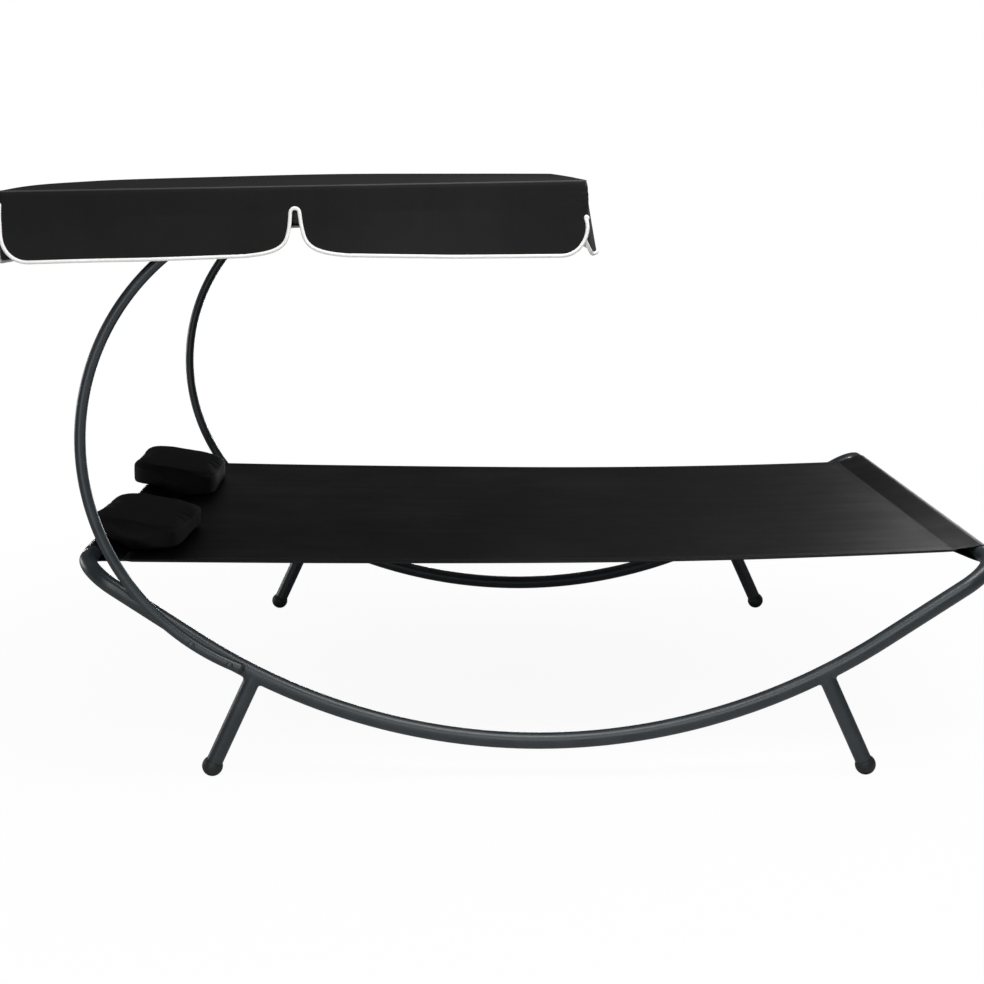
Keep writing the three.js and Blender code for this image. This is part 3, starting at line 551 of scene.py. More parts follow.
def make_cloth(name, dark, light, roughness, threads, crease_depth, slub, weave_depth=0.2 * MM,
               sheen=0.0, specular=0.25, rows=()):
    material, tree, shader = new_material(name, roughness, specular)
    shader.inputs["Sheen Weight"].default_value = sheen
    shader.inputs["Sheen Roughness"].default_value = 0.5
    flat = coordinates(tree, "UV")
    weave = place_group(tree, weave_group, flat, Threads_Per_Metre=threads, Slub=slub)
    uneven = place_group(tree, uneven_group, coordinates(tree), Patch_Scale=3.2, Crease_Scale=24.0)
    lifted = maths(tree, "SUBTRACT", uneven.outputs["Patches"], PATCH_LEVEL)
    patches = maths(tree, "MULTIPLY", lifted, PATCH_CONTRAST)
    shade = maths(tree, "ADD", patches, weave.outputs["Thread Shade"], clamp=True)
    colour = mixed_colour(tree, shade, dark, light)
    smoother = maths(tree, "MULTIPLY", shade, 2 * ROUGHNESS_SPREAD)
    rough = maths(tree, "SUBTRACT", roughness + ROUGHNESS_SPREAD, smoother)
    creased = bump(tree, uneven.outputs["Creases"], crease_depth, strength=0.6)
    normal = bump(tree, weave.outputs["Height"], weave_depth, strength=0.5, below=creased)
    if rows:
        thread = stitch_rows(tree, flat, rows)
        colour = mixed_colour(tree, thread, colour, THREAD_COLOUR)
        normal = bump(tree, thread, STITCH_DEPTH, strength=0.8, below=normal)
    wire(tree, [(colour, shader.inputs["Base Color"]), (rough, shader.inputs["Roughness"]),
                (normal, shader.inputs["Normal"])])
    return material


# %% The cloths: the bed, the pillows, the cover, its seams and its white binding
SLING_WIDTH = 1300 * MM
SEAM_REACH = 970 * MM
HEM_WIDTH = 24 * MM
ROW_INSET = 3 * MM
SEAM_ROW_SPACING = 7 * MM
TAPE_CREASE = 0.5 * MM
half_width = SLING_WIDTH / 2
sling_rows = [(0, half_width - ROW_INSET), (0, half_width - HEM_WIDTH + ROW_INSET)]
sling_rows += [(1, SEAM_REACH), (1, SEAM_REACH - SEAM_ROW_SPACING)]
sling_cloth = make_cloth(
    "sling_cloth", "#040404", "#0d0d0e", roughness=0.42, threads=700.0, crease_depth=0.6 * MM, slub=0.5,
    weave_depth=0.25 * MM, specular=0.13, rows=sling_rows)
pillow_cloth = make_cloth(
    "pillow_cloth", "#060606", "#0e0e0e", roughness=0.8, threads=1300.0, crease_depth=2 * MM, slub=0.3)
canopy_cloth = make_cloth(
    "canopy_cloth", "#101010", "#171718", roughness=0.8, threads=1300.0, crease_depth=1.2 * MM, slub=0.25)
# The seam cord is the cover's own fabric drawn several times lighter: a painted highlight along the roof's
# edge.
seam_painted_highlight_cloth = make_cloth(
    "seam_painted_highlight_cloth", "#3c3c3c", "#505051", roughness=0.7, threads=1300.0, crease_depth=TAPE_CREASE, slub=0.25)
# The hem cord is the bed's own cloth drawn lighter: a painted highlight along the rolled edge.
hem_cloth = make_cloth(
    "hem_cloth", "#121212", "#1e1e1f", roughness=0.7, threads=1300.0, crease_depth=TAPE_CREASE, slub=0.25)
binding_cloth = make_cloth(
    "binding_cloth", "#ededeb", "#fafaf9", roughness=0.7, threads=1500.0, crease_depth=TAPE_CREASE,
    slub=0.4, sheen=0.1)
soft_finishes = (sling_cloth, pillow_cloth, canopy_cloth, seam_painted_highlight_cloth, hem_cloth, binding_cloth)
print("soft finishes:", [finish.name for finish in soft_finishes])


# %% [markdown]
# ## Ending a piece
#
# Every piece ends the same way: it gets its one material and its body, stands in for its node of the
# frame, and is measured. This could be done for all pieces in one loop at the end, but a piece that
# ends where it is made can be read, and checked, in one place.

# %% The end of a piece
def finish_piece(piece, material, slot, body, *nodes):
    piece.data.materials.clear()
    piece.data.materials.append(material)
    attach(piece, body)
    if nodes:
        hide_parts(*nodes)
    print(piece.name, "on", body, "measures", measured(piece), "mm")
    return piece


# %% [markdown]
# ## Camera, floor and light
#
# The camera was found by fitting the side rails and the canopy's arcs to the photograph. A white room
# lit from all sides would give the plain backdrop, but it would also wash out the dark cloth. So the floor
# and the backdrop are white to the camera and pale grey to the light, and large lamps draw the long
# highlights on the tubes.

# %% Camera
FOCAL_PIXELS = 1788.0
PICTURE_PIXELS = 984.0
SENSOR = 36.0
CAMERA_PLACE = Vector((-0.18703, -4.7307, 1.39775)) + Vector((bed_x, 0, 0))
CAMERA_YAW, CAMERA_PITCH, CAMERA_ROLL = -0.01862, 0.18383, -0.004


def make_camera():
    data = bpy.data.cameras.new("camera")
    data.sensor_width = SENSOR
    data.lens = FOCAL_PIXELS * SENSOR / PICTURE_PIXELS
    camera = bpy.data.objects.new("camera", data)
    turn = Matrix.Rotation(CAMERA_YAW, 4, "Z") @ Matrix.Rotation(math.pi / 2 - CAMERA_PITCH, 4, "X")
    camera.matrix_world = Matrix.Translation(CAMERA_PLACE) @ turn @ Matrix.Rotation(-CAMERA_ROLL, 4, "Z")
    bpy.context.scene.collection.objects.link(camera)
    bpy.context.scene.camera = camera
    return camera


camera = make_camera()
bpy.context.scene.view_settings.view_transform = "Standard"
print("camera lens", round(camera.data.lens, 1), "mm at", [round(value, 2) for value in CAMERA_PLACE])


# %% Floor
FLOOR_HALF = 14.0
FLOOR_GREY = 0.6
SHADOW_SHARE = 0.07
SHADOW_REACH = 2.6
FLOOR_GLOW = 1.0


def shadow_share(tree):
    """Shadows show near the object only; farther off the floor is as white as the backdrop."""
    far = tree.nodes.new("ShaderNodeVectorMath")
    far.operation = "LENGTH"
    tree.links.new(coordinates(tree), far.inputs[0])
    distance = maths(tree, "DIVIDE", far.outputs["Value"], SHADOW_REACH)
    near = maths(tree, "SUBTRACT", 1.0, distance, clamp=True)
    return maths(tree, "MULTIPLY", near, SHADOW_SHARE)


def make_floor():
    nothing_selected()
    bpy.ops.mesh.primitive_plane_add(size=2 * FLOOR_HALF, location=(0, 0, 0))
    floor = take("floor")
    material = bpy.data.materials.new("floor")
    material.use_nodes = True
    tree = material.node_tree
    tree.nodes.remove(tree.nodes["Principled BSDF"])
    diffuse = tree.nodes.new("ShaderNodeBsdfDiffuse")
    diffuse.inputs["Color"].default_value = (FLOOR_GREY, FLOOR_GREY, FLOOR_GREY, 1)
    white = tree.nodes.new("ShaderNodeEmission")
    white.inputs["Strength"].default_value = FLOOR_GLOW
    pale = tree.nodes.new("ShaderNodeBsdfDiffuse")
    lit = tree.nodes.new("ShaderNodeMixShader")
    seen = tree.nodes.new("ShaderNodeMixShader")
    path = tree.nodes.new("ShaderNodeLightPath")
    output = tree.nodes["Material Output"]
    wire(tree, [
        (shadow_share(tree), lit.inputs[0]), (white.outputs[0], lit.inputs[1]),
        (pale.outputs[0], lit.inputs[2]), (path.outputs["Is Camera Ray"], seen.inputs[0]),
        (diffuse.outputs[0], seen.inputs[1]), (lit.outputs[0], seen.inputs[2]),
        (seen.outputs[0], output.inputs["Surface"]),
    ])
    floor.data.materials.append(material)
    return floor


make_floor()
print("floor", 2 * FLOOR_HALF, "m wide, its shadows fade out at", SHADOW_REACH, "m")


# %% World
WORLD_LEVEL = 0.11


def make_world(level):
    world = bpy.data.worlds.new("studio")
    bpy.context.scene.world = world
    world.use_nodes = True
    tree = world.node_tree
    dim = tree.nodes["Background"]
    dim.inputs["Color"].default_value = (1, 1, 1, 1)
    dim.inputs["Strength"].default_value = level
    white = tree.nodes.new("ShaderNodeBackground")
    white.inputs["Color"].default_value = (1, 1, 1, 1)
    mix = tree.nodes.new("ShaderNodeMixShader")
    path = tree.nodes.new("ShaderNodeLightPath")
    wire(tree, [
        (path.outputs["Is Camera Ray"], mix.inputs[0]), (dim.outputs[0], mix.inputs[1]),
        (white.outputs[0], mix.inputs[2]), (mix.outputs[0], tree.nodes["World Output"].inputs["Surface"]),
    ])


make_world(WORLD_LEVEL)
print("world at", WORLD_LEVEL, "on the object and 1 behind it")


# %% Lamps
LAMPS = [
    # name, place, what it points at, length, width, watts
    ("overhead", (0.85, -1.25, 3.4), (0.6, -0.85, 0.3), 3.2, 1.0, 98),
    ("front", (-0.4, -4.6, 2.6), (0, -0.5, 0.6), 2.8, 2.0, 62),
    ("low", (-1.6, -4.6, 0.7), (-0.1, 0.6, 0.4), 1.8, 0.6, 21),
    ("behind", (3.4, 5.0, 1.3), (0.4, 0, 0.5), 2.0, 1.4, 46),
    ("head end", (-4.8, 1.6, 1.0), (-0.3, 0.2, 0.8), 2.4, 1.0, 40),
    ("low behind", (-1.2, 5.2, 0.2), (-0.2, 0.6, 0.9), 3.4, 0.34, 70),
]


def make_lamp(name, place, target, length, width, watts):
    data = bpy.data.lights.new(name, "AREA")
    data.shape = "RECTANGLE"
    data.size = length
    data.size_y = width
    data.energy = watts
    lamp = bpy.data.objects.new(name, data)
    lamp.location = place
    lamp.rotation_euler = (Vector(target) - Vector(place)).to_track_quat("-Z", "Y").to_euler()
    bpy.context.scene.collection.objects.link(lamp)


for lamp in LAMPS:
    make_lamp(*lamp)
print(len(LAMPS), "lamps,", sum(lamp[-1] for lamp in LAMPS), "watts in all")


# %% [markdown]
# ## Bent tubes
#
# The rails, arcs and cross bars are steel tubes that a bender has shaped. A curve with a bevel would draw
# such a tube at once, but its bends are only nearly round. So a tube is drawn as a bender makes it. A ring
# of vertices is added at one end. A straight run is an extrusion of the last ring, and a bend is a spin of
# it about the bend's centre, so the steps can be as fine as each bend needs.

# %% Tube maker
TUBE_SIDES = 40
TUBE_SMOOTHING = 40


def bent_tube(name, start, heading, radius, runs, sides=TUBE_SIDES):
    nothing_selected()
    turn = heading.to_track_quat("Z", "Y").to_euler()
    bpy.ops.mesh.primitive_circle_add(vertices=sides, radius=radius, location=start, rotation=turn)
    tube = take(name)
    edit(tube, "EDGE")
    bpy.ops.mesh.select_all(action="SELECT")
    for run in runs:
        if run[0] == "straight":
            bpy.ops.mesh.extrude_region_move(TRANSFORM_OT_translate={"value": run[1]})
        else:
            _, centre, axis, angle, steps = run
            bpy.ops.mesh.spin(steps=steps, angle=-angle, center=centre, axis=axis)
    bpy.ops.mesh.edge_face_add()
    return close_holes(tube, TUBE_SMOOTHING)


# %% [markdown]
# ## Side rails
#
# Each side of the bed is one 38 mm tube: a short straight, a bend of 90 degrees, a straight shoulder, the
# long bow, and the same again. Both rails could be drawn from the same list of runs, but a pair of real
# rails is made to match, so the near one is drawn and the far one is its mirror image.

# %% The rails
BOW_STEPS = 64
CORNER_STEPS = 16


def make_near_rail():
    y = -rail_y
    slope = Vector((math.cos(BOW_ANGLE), 0, -math.sin(BOW_ANGLE)))
    rise = Vector((math.cos(BOW_ANGLE), 0, math.sin(BOW_ANGLE)))
    head_corner = Vector((bed_x - END_BAR_REACH, y, end_bar_z))
    foot_corner = Vector((bed_x + END_BAR_REACH, y, end_bar_z))
    start = head_corner + inward * (CORNER_RADIUS + RAIL_END_STRAIGHT)
    head_centre = head_corner + inward * CORNER_RADIUS + slope * CORNER_RADIUS
    foot_centre = foot_corner + inward * CORNER_RADIUS - rise * CORNER_RADIUS
    shoulder_start = head_corner + slope * CORNER_RADIUS
    shoulder_end = Vector((bed_x - bow_end.x, y, bow_end.z))
    foot_shoulder = foot_corner - rise * CORNER_RADIUS
    foot_bow_end = Vector((bed_x + bow_end.x, y, bow_end.z))
    quarter = math.pi / 2
    runs = [
        ("straight", -inward * RAIL_END_STRAIGHT),
        ("bend", head_centre, (-inward).cross(slope), quarter, CORNER_STEPS),
        ("straight", shoulder_end - shoulder_start),
        ("bend", Vector((bed_x, y, bow_centre_z)), outward, 2 * BOW_ANGLE, BOW_STEPS),
        ("straight", foot_shoulder - foot_bow_end),
        ("bend", foot_centre, rise.cross(inward), quarter, CORNER_STEPS),
        ("straight", inward * RAIL_END_STRAIGHT),
    ]
    return bent_tube("near_rail_tube", start, -inward, RAIL_RADIUS, runs)


near_rail = make_near_rail()
far_rail = copy_of(near_rail, "far_rail_tube", ACROSS)
for rail, side in ((near_rail, "near"), (far_rail, "far")):
    finish_piece(rail, coated_steel, "coated_steel", "frame", f"{side}_side_rail")


# %% [markdown]
# ## Canopy arcs
#
# Two 25 mm tubes hold the canopy up. Each runs beside its rail at the lower end, sweeps up in one large
# bend, tightens a little and ends level at the pivot. A free curve could be laid over the photograph, but
# two bends with known centres can be checked against the frame, whose pivot lies a known way from them.

# %% The arcs
PIVOT_REACH = 60 * MM
PIVOT_RISE = 514 * MM
ARC_LOWER_REACH = 203 * MM
ARC_STEPS = 72
ARC_TOP_STEPS = 18
ARC_SIDES = 30

arc_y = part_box("near_canopy_arc")[0].y + ARC_TUBE_RADIUS
arc_centre = Vector((pivot.x + PIVOT_REACH, arc_y, pivot.z - PIVOT_RISE))


def make_near_arc():
    lower_turn = math.acos(-ARC_LOWER_REACH / ARC_RADIUS)
    upper_turn = math.pi - math.asin(ARC_BLEND_RISE / ARC_RADIUS)
    start_out = Vector((math.cos(lower_turn), 0, -math.sin(lower_turn)))
    heading = Vector((-math.sin(lower_turn), 0, -math.cos(lower_turn)))
    start = arc_centre + start_out * ARC_RADIUS
    sweep = 2 * math.pi - lower_turn - upper_turn
    blend_out = Vector((math.cos(upper_turn), 0, math.sin(upper_turn)))
    rest = upper_turn - math.pi / 2
    top_radius = (PIVOT_RISE - ARC_BLEND_RISE) / (1 - math.cos(rest))
    top_centre = arc_centre + blend_out * (ARC_RADIUS - top_radius)
    level = Vector((pivot.x + ARC_BEYOND_PIVOT - top_centre.x, 0, 0))
    runs = [
        ("bend", arc_centre, inward, sweep, ARC_STEPS),
        ("bend", top_centre, inward, rest, ARC_TOP_STEPS),
        ("straight", level),
    ]
    return bent_tube("near_arc_tube", start, heading, ARC_TUBE_RADIUS, runs, ARC_SIDES)


near_arc = make_near_arc()
far_arc = copy_of(near_arc, "far_arc_tube", ACROSS)
for arc, side in ((near_arc, "near"), (far_arc, "far")):
    finish_piece(arc, coated_steel, "coated_steel", "frame", f"{side}_canopy_arc")


# %% [markdown]
# ## End bars
#
# A straight 38 mm tube joins the side rails at each end of the bed and carries the sling's pocket. Its
# ends are drawn down to a spigot that slides into the rail. It is a turned form: one ring is added, and
# each further ring is an extrusion of the last, scaled about its own centre. A cylinder with parts cut
# away would do too, but the rings keep every step of the swage in one skin.

# %% Turned pieces, ring by ring
TURNED_SMOOTHING = 35


def turned(name, start, direction, profile, sides=TUBE_SIDES):
    """Rings of a turned piece: profile is a list of (radius, height along the direction) pairs."""
    nothing_selected()
    axis = direction.normalized()
    turn = axis.to_track_quat("Z", "Y").to_euler()
    first_radius, first_height = profile[0]
    place = start + axis * first_height
    bpy.ops.mesh.primitive_circle_add(vertices=sides, radius=first_radius, location=place, rotation=turn)
    piece = take(name)
    edit(piece, "EDGE")
    bpy.ops.mesh.select_all(action="SELECT")
    for (radius, height), (next_radius, next_height) in zip(profile, profile[1:]):
        step = axis * (next_height - height)
        bpy.ops.mesh.extrude_region_move(TRANSFORM_OT_translate={"value": step})
        if next_radius > 0:
            share = next_radius / radius
            ring_centre = start + axis * next_height
            bpy.ops.transform.resize(value=(share, share, share), center_override=ring_centre)
        else:
            bpy.ops.mesh.merge(type="CENTER")
    if profile[-1][0] > 0:
        bpy.ops.mesh.edge_face_add()
    return close_holes(piece, TURNED_SMOOTHING)


# %% The end bars
SPIGOT_RADIUS = 17 * MM
SPIGOT_LENGTH = 30 * MM
FIT_GAP = 0.3 * MM
SWAGE_LENGTH = 1.2 * MM


def make_end_bar(end_name, end):
    shoulder = rail_joint_y - FIT_GAP
    tip = rail_joint_y + SPIGOT_LENGTH
    half = [
        (SPIGOT_RADIUS - SWAGE_LENGTH, tip), (SPIGOT_RADIUS, tip - SWAGE_LENGTH), (SPIGOT_RADIUS, shoulder),
        (RAIL_RADIUS - SWAGE_LENGTH, shoulder), (RAIL_RADIUS, shoulder - SWAGE_LENGTH),
    ]
    profile = [(radius, -reach) for radius, reach in half]
    profile += [(radius, reach) for radius, reach in reversed(half)]
    middle = Vector((bed_x + end * END_BAR_REACH, 0, end_bar_z))
    bar = turned(f"{end_name}_bar_tube", middle, inward, profile)
    finish_piece(bar, coated_steel, "coated_steel", "frame", f"{end_name}_end_bar")


for end_name, end in ENDS.items():
    make_end_bar(end_name, end)


# %% [markdown]
# ## Legs
#
# Each leg is a straight 38 mm tube that leans 25 degrees and is welded under the rail. Its upper end is
# cut to the rail's curve and has a weld bead round it. A Boolean would cut the end, but would leave no
# bead, so each vertex of the last rings is slid to its own place on the rail instead: up the leg to
# where it meets the rail, then outwards over the rail's skin as the bead's toe.

# %% Where a leg meets its rail
FOOT_SPACING = 1510 * MM
LEG_LEAN = math.radians(25)
CAP_RADIUS = 24 * MM
CAP_FLAT = 1.5 * MM
SEARCH_START = 50 * MM
SEARCH_STEP = 1 * MM
SEARCH_END = 1000 * MM
HALVINGS = 14


def foot_centre(end, side):
    return Vector((bed_x + end * FOOT_SPACING / 2, side * rail_y, CAP_RADIUS - CAP_FLAT))


def leg_direction(end):
    return Vector((-end * math.sin(LEG_LEAN), 0, math.cos(LEG_LEAN)))


def nearest_on_bow(point):
    out = Vector((point.x - bed_x, 0, point.z - bow_centre_z)).normalized()
    side = -1 if point.y < 0 else 1
    return Vector((bed_x, side * rail_y, bow_centre_z)) + out * BOW_RADIUS


def on_rail_skin(point, lift=0.0):
    axis = nearest_on_bow(point)
    return axis + (point - axis).normalized() * (RAIL_RADIUS + lift)


def off_rail(point):
    return (point - nearest_on_bow(point)).length - RAIL_RADIUS


def meets_rail(start, direction):
    """Walks up a line of the leg's skin until it touches the rail's skin."""
    reach = SEARCH_START
    while off_rail(start + direction * reach) > 0 and reach < SEARCH_END:
        reach += SEARCH_STEP
    below = reach - SEARCH_STEP
    for _ in range(HALVINGS):
        middle = (below + reach) / 2
        if off_rail(start + direction * middle) > 0:
            below = middle
        else:
            reach = middle
    return start + direction * reach


near_head_foot = foot_centre(ENDS["head"], SIDES["near"])
near_head_joint = meets_rail(near_head_foot, leg_direction(ENDS["head"]))
print("a leg's middle line is", round((near_head_joint - near_head_foot).length / MM, 1), "mm long")


# %% The legs
LEG_RADIUS = 19 * MM
LEG_SIDES = 96
LEG_LOW = 4 * MM
LEG_FIRST_RING = 20 * MM
BEAD_SIZE = 8 * MM
BEAD_RINGS = 6
BEAD_RIPPLES = 30
BEAD_RIPPLE = 0.25 * MM
BEAD_SINK = 2 * MM
LEG_SMOOTHING = 60
END_FACING = 0.9
# A leg is as thick as its rail, so lines up its two sides would only graze it: they run a little inside
TOUCH_SHARE = 0.985


def make_leg(end_name, end, side_name, side):
    direction = leg_direction(end)
    centre = foot_centre(end, side)
    profile = [(LEG_RADIUS, LEG_LOW), (LEG_RADIUS, LEG_FIRST_RING)]
    leg = turned(f"{side_name}_{end_name}_leg_tube", centre, direction, profile, LEG_SIDES)
    edit(leg, "FACE")
    mesh = bmesh.from_edit_mesh(leg.data)
    caps = [face for face in mesh.faces if len(face.verts) > 4 and face.normal.dot(direction) > END_FACING]
    bmesh.ops.delete(mesh, geom=caps, context="FACES_ONLY")
    rim = [edge for edge in mesh.edges if edge.is_boundary]
    rings = [[vert for vert in mesh.verts if vert.is_boundary]]
    for _ in range(BEAD_RINGS + 2):
        grown = bmesh.ops.extrude_edge_only(mesh, edges=rim)["geom"]
        rim = [item for item in grown if isinstance(item, bmesh.types.BMEdge) and item.is_boundary]
        rings.append([item for item in grown if isinstance(item, bmesh.types.BMVert)])
    for number, ring in enumerate(rings[1:]):
        share = number / BEAD_RINGS
        for vert in ring:
            arm = vert.co - centre
            out = (arm - direction * arm.dot(direction)).normalized()
            joint = meets_rail(centre + out * LEG_RADIUS * TOUCH_SHARE, direction)
            joint += out * LEG_RADIUS * (1 - TOUCH_SHARE)
            toe = on_rail_skin(joint + out * BEAD_SIZE)
            turn = math.atan2(out.dot(inward), out.dot(direction.cross(inward)))
            swell = BEAD_RIPPLE * math.cos(BEAD_RIPPLES * turn) * math.sin(math.pi * min(share, 1))
            if number <= BEAD_RINGS:
                heel = joint - direction * BEAD_SIZE
                curve = heel * (1 - share) ** 2 + joint * 2 * share * (1 - share) + toe * share ** 2
                vert.co = curve + (out - direction).normalized() * swell
            else:
                vert.co = on_rail_skin(joint, -BEAD_SINK)
    bmesh.update_edit_mesh(leg.data)
    close_holes(leg, LEG_SMOOTHING)
    finish_piece(leg, coated_steel, "coated_steel", "frame", f"{side_name}_{end_name}_leg")


for side_name, side in SIDES.items():
    for end_name, end in ENDS.items():
        make_leg(end_name, end, side_name, side)


# %% [markdown]
# ## Foot caps
#
# A moulded ball with a short collar is pushed over each leg, and its underside is worn flat where it
# stands. A whole sphere would stand on one point and have no collar. So the cap is turned, with its lip and
# its socket, and a bisect takes off what is below the floor.

# %% The foot caps
CAP_LIP_RADIUS = 21 * MM
CAP_LIP_ROUND = 0.8 * MM
CAP_STATIONS = 26
CAP_SIDES = 56
CAP_PLAY = 0.25 * MM
CAP_SOCKET_FLOOR = 3 * MM
ROUNDING_SHARE = 0.3


def make_cap(end_name, end, side_name, side):
    direction = leg_direction(end)
    centre = foot_centre(end, side)
    lip_angle = math.asin(CAP_LIP_RADIUS / CAP_RADIUS)
    arc = [math.pi - (math.pi - lip_angle) * step / CAP_STATIONS for step in range(1, CAP_STATIONS + 1)]
    ball = [(CAP_RADIUS * math.sin(angle), CAP_RADIUS * math.cos(angle)) for angle in arc]
    lip = CAP_RADIUS * math.cos(lip_angle)
    inside = LEG_RADIUS + CAP_PLAY
    shoulder = lip + CAP_LIP_ROUND * (1 - ROUNDING_SHARE)
    ball += [
        (CAP_LIP_RADIUS - CAP_LIP_ROUND * ROUNDING_SHARE, shoulder),
        (CAP_LIP_RADIUS - CAP_LIP_ROUND, lip + CAP_LIP_ROUND),
        (inside, shoulder), (inside, CAP_SOCKET_FLOOR),
    ]
    cap = turned(f"{side_name}_{end_name}_cap_ball", centre, direction, ball, CAP_SIDES)
    edit(cap, "FACE")
    bpy.ops.mesh.select_all(action="SELECT")
    bpy.ops.mesh.bisect(plane_co=(0, 0, 0), plane_no=(0, 0, -1), clear_outer=True, use_fill=True)
    object_mode()
    faces_outward(cap)
    smooth(cap, TURNED_SMOOTHING)
    finish_piece(cap, black_plastic, "black_plastic", "frame", f"{side_name}_{end_name}_foot_cap")


for side_name, side in SIDES.items():
    for end_name, end in ENDS.items():
        make_cap(end_name, end, side_name, side)


# %% [markdown]
# ## The sling
#
# The bed is one width of black mesh cloth. It runs over both end bars, comes back underneath and is sewn
# to itself 70 mm in from them, which makes the pockets. It could be draped by a simulation, but a cloth
# held tight at both ends has a shape that can be written down: a flat sheet is laid out in small squares,
# and each vertex is moved from its flat place to its place along the hung cloth.

# %% The hung cloth's path, as points along its length
SLING_CLOTH = 1.3 * MM
SLING_SAG = 15 * MM
HEAD_SEAM_DROP = 11 * MM
FOOT_SEAM_DROP = -3 * MM
SEAM_TWIST = 5 * MM
POCKET_TAIL = 16 * MM
POCKET_GAP = 1.9 * MM
BED_STEPS = 48
BAR_STEPS = 30
RUN_SHARES = (0.25, 0.5, 0.75)
SEAM_SHARE = 0.06
middle_z = end_bar_z - (HEAD_SEAM_DROP + FOOT_SEAM_DROP) / 2 - SLING_SAG
bar_turn_radius = RAIL_RADIUS + FIT_GAP + SLING_CLOTH / 2


def half_path(seam_z):
    """From the middle of the bed out to the tail under it, as (reach, height) pairs."""
    bed = []
    for step in range(BED_STEPS + 1):
        reach = SEAM_REACH * step / BED_STEPS
        bed.append((reach, middle_z + (seam_z - middle_z) * (reach / SEAM_REACH) ** 2))
    bar = Vector((END_BAR_REACH, end_bar_z))
    seam = Vector((SEAM_REACH, seam_z))
    away = bar - seam
    spread = math.acos(bar_turn_radius / away.length)
    back = math.atan2(-away.y, -away.x)
    turn = 2 * math.pi - 2 * spread
    round_bar = []
    for step in range(BAR_STEPS + 1):
        angle = back - spread - turn * step / BAR_STEPS
        round_bar.append(tuple(bar + Vector((math.cos(angle), math.sin(angle))) * bar_turn_radius))
    first, last = Vector(round_bar[0]), Vector(round_bar[-1])
    top_run = [tuple(seam.lerp(first, share)) for share in (SEAM_SHARE,) + RUN_SHARES]
    below = seam - Vector((0, POCKET_GAP))
    under_run = [tuple(last.lerp(below, share)) for share in RUN_SHARES + (1 - SEAM_SHARE,)]
    slope = 2 * (seam_z - middle_z) / SEAM_REACH
    tail = [tuple(below), tuple(below - Vector((POCKET_TAIL, POCKET_TAIL * slope)))]
    return bed + top_run + round_bar + under_run + tail


def lengths_along(path):
    total, along = 0.0, [0.0]
    for first, second in zip(path, path[1:]):
        total += (Vector(second) - Vector(first)).length
        along.append(total)
    return along


sling_paths = {-1: half_path(end_bar_z - HEAD_SEAM_DROP), 1: half_path(end_bar_z - FOOT_SEAM_DROP)}
sling_along = {end: lengths_along(path) for end, path in sling_paths.items()}


# %% A flat sheet in squares, hung by a rule
CLOTH_SMOOTHING = 50


def spread_sheet(name, across, along, place):
    """A grid whose vertices go where the rule says; the UV map keeps the flat place in metres."""
    nothing_selected()
    columns = len(across) - 1
    rows = len(along) - 1
    bpy.ops.mesh.primitive_grid_add(x_subdivisions=columns, y_subdivisions=rows, size=2)
    sheet = take(name)
    flat = []
    for vert in sheet.data.vertices:
        column = round((vert.co.x + 1) / 2 * columns)
        row = round((vert.co.y + 1) / 2 * rows)
        flat.append((across[column], along[row]))
    for vert, (sideways, lengthways) in zip(sheet.data.vertices, flat):
        vert.co = place(sideways, lengthways)
    layer = sheet.data.uv_layers.active or sheet.data.uv_layers.new(name="flat")
    for loop in sheet.data.loops:
        layer.data[loop.index].uv = flat[loop.vertex_index]
    return sheet


def thicken(sheet, thickness, offset):
    only(sheet)
    solid = sheet.modifiers.new("cloth", "SOLIDIFY")
    solid.thickness = thickness
    solid.offset = offset
    solid.use_even_offset = False
    apply_modifiers(sheet)
    return smooth(sheet, CLOTH_SMOOTHING)


# %% Where each place of the bed hangs
HEM_STEP = 0.5 * MM
RIPPLE_DEPTH = 0.9 * MM
RIPPLE_START = 0.55
RIPPLE_WAVES = (61, 23)
RIPPLE_SHIFTS = (0.7, 1.3)
CROSS_SAG = 2.5 * MM
TOUCHING = 1e-9


def hem_lift(across):
    inside = SLING_WIDTH / 2 - abs(across)
    return HEM_STEP * min(max((HEM_WIDTH - inside) / ROW_INSET, 0), 1)


def seam_twist(across, reach, end):
    """The seams aren't quite level: the near end of one is higher, and that of the other lower."""
    tangent = END_BAR_REACH - SEAM_REACH - RAIL_RADIUS
    fade = min(reach / SEAM_REACH, max(1 - (reach - SEAM_REACH) / tangent, 0))
    return -SEAM_TWIST * end * fade * across / (SLING_WIDTH / 2)


def sling_place(across, along):
    distance = abs(along)
    end = 1 if along >= 0 else -1
    lengths, path = sling_along[end], sling_paths[end]
    index = max(number for number, value in enumerate(lengths) if value <= distance + TOUCHING)
    index = min(index, len(lengths) - 2)
    share = (distance - lengths[index]) / (lengths[index + 1] - lengths[index])
    reach, height = Vector(path[index]).lerp(Vector(path[index + 1]), share)
    height += seam_twist(across, reach, end)
    if distance <= SEAM_REACH:
        near_seam = max(distance / SEAM_REACH - RIPPLE_START, 0) / (1 - RIPPLE_START)
        ripple = math.sin(across * RIPPLE_WAVES[0] + RIPPLE_SHIFTS[0] * end)
        ripple *= math.sin(across * RIPPLE_WAVES[1] + RIPPLE_SHIFTS[1])
        height += RIPPLE_DEPTH * ripple * near_seam * (1 - near_seam) * 2
        height -= CROSS_SAG * (1 - (2 * across / SLING_WIDTH) ** 2) * (1 - (distance / SEAM_REACH) ** 2)
        height += hem_lift(across)
    return Vector((bed_x + end * reach, across, height))


seam_places = [sling_place(0, along) for along in (-SEAM_REACH, 0, SEAM_REACH)]
print("head seam, middle and foot seam hang at", [round(place.z, 4) for place in seam_places])


# %% The bed's cloth
INNER_MARGIN = 20 * MM
INNER_COLUMNS = 60
lengthways = sorted([-value for value in sling_along[-1][1:]] + sling_along[1])


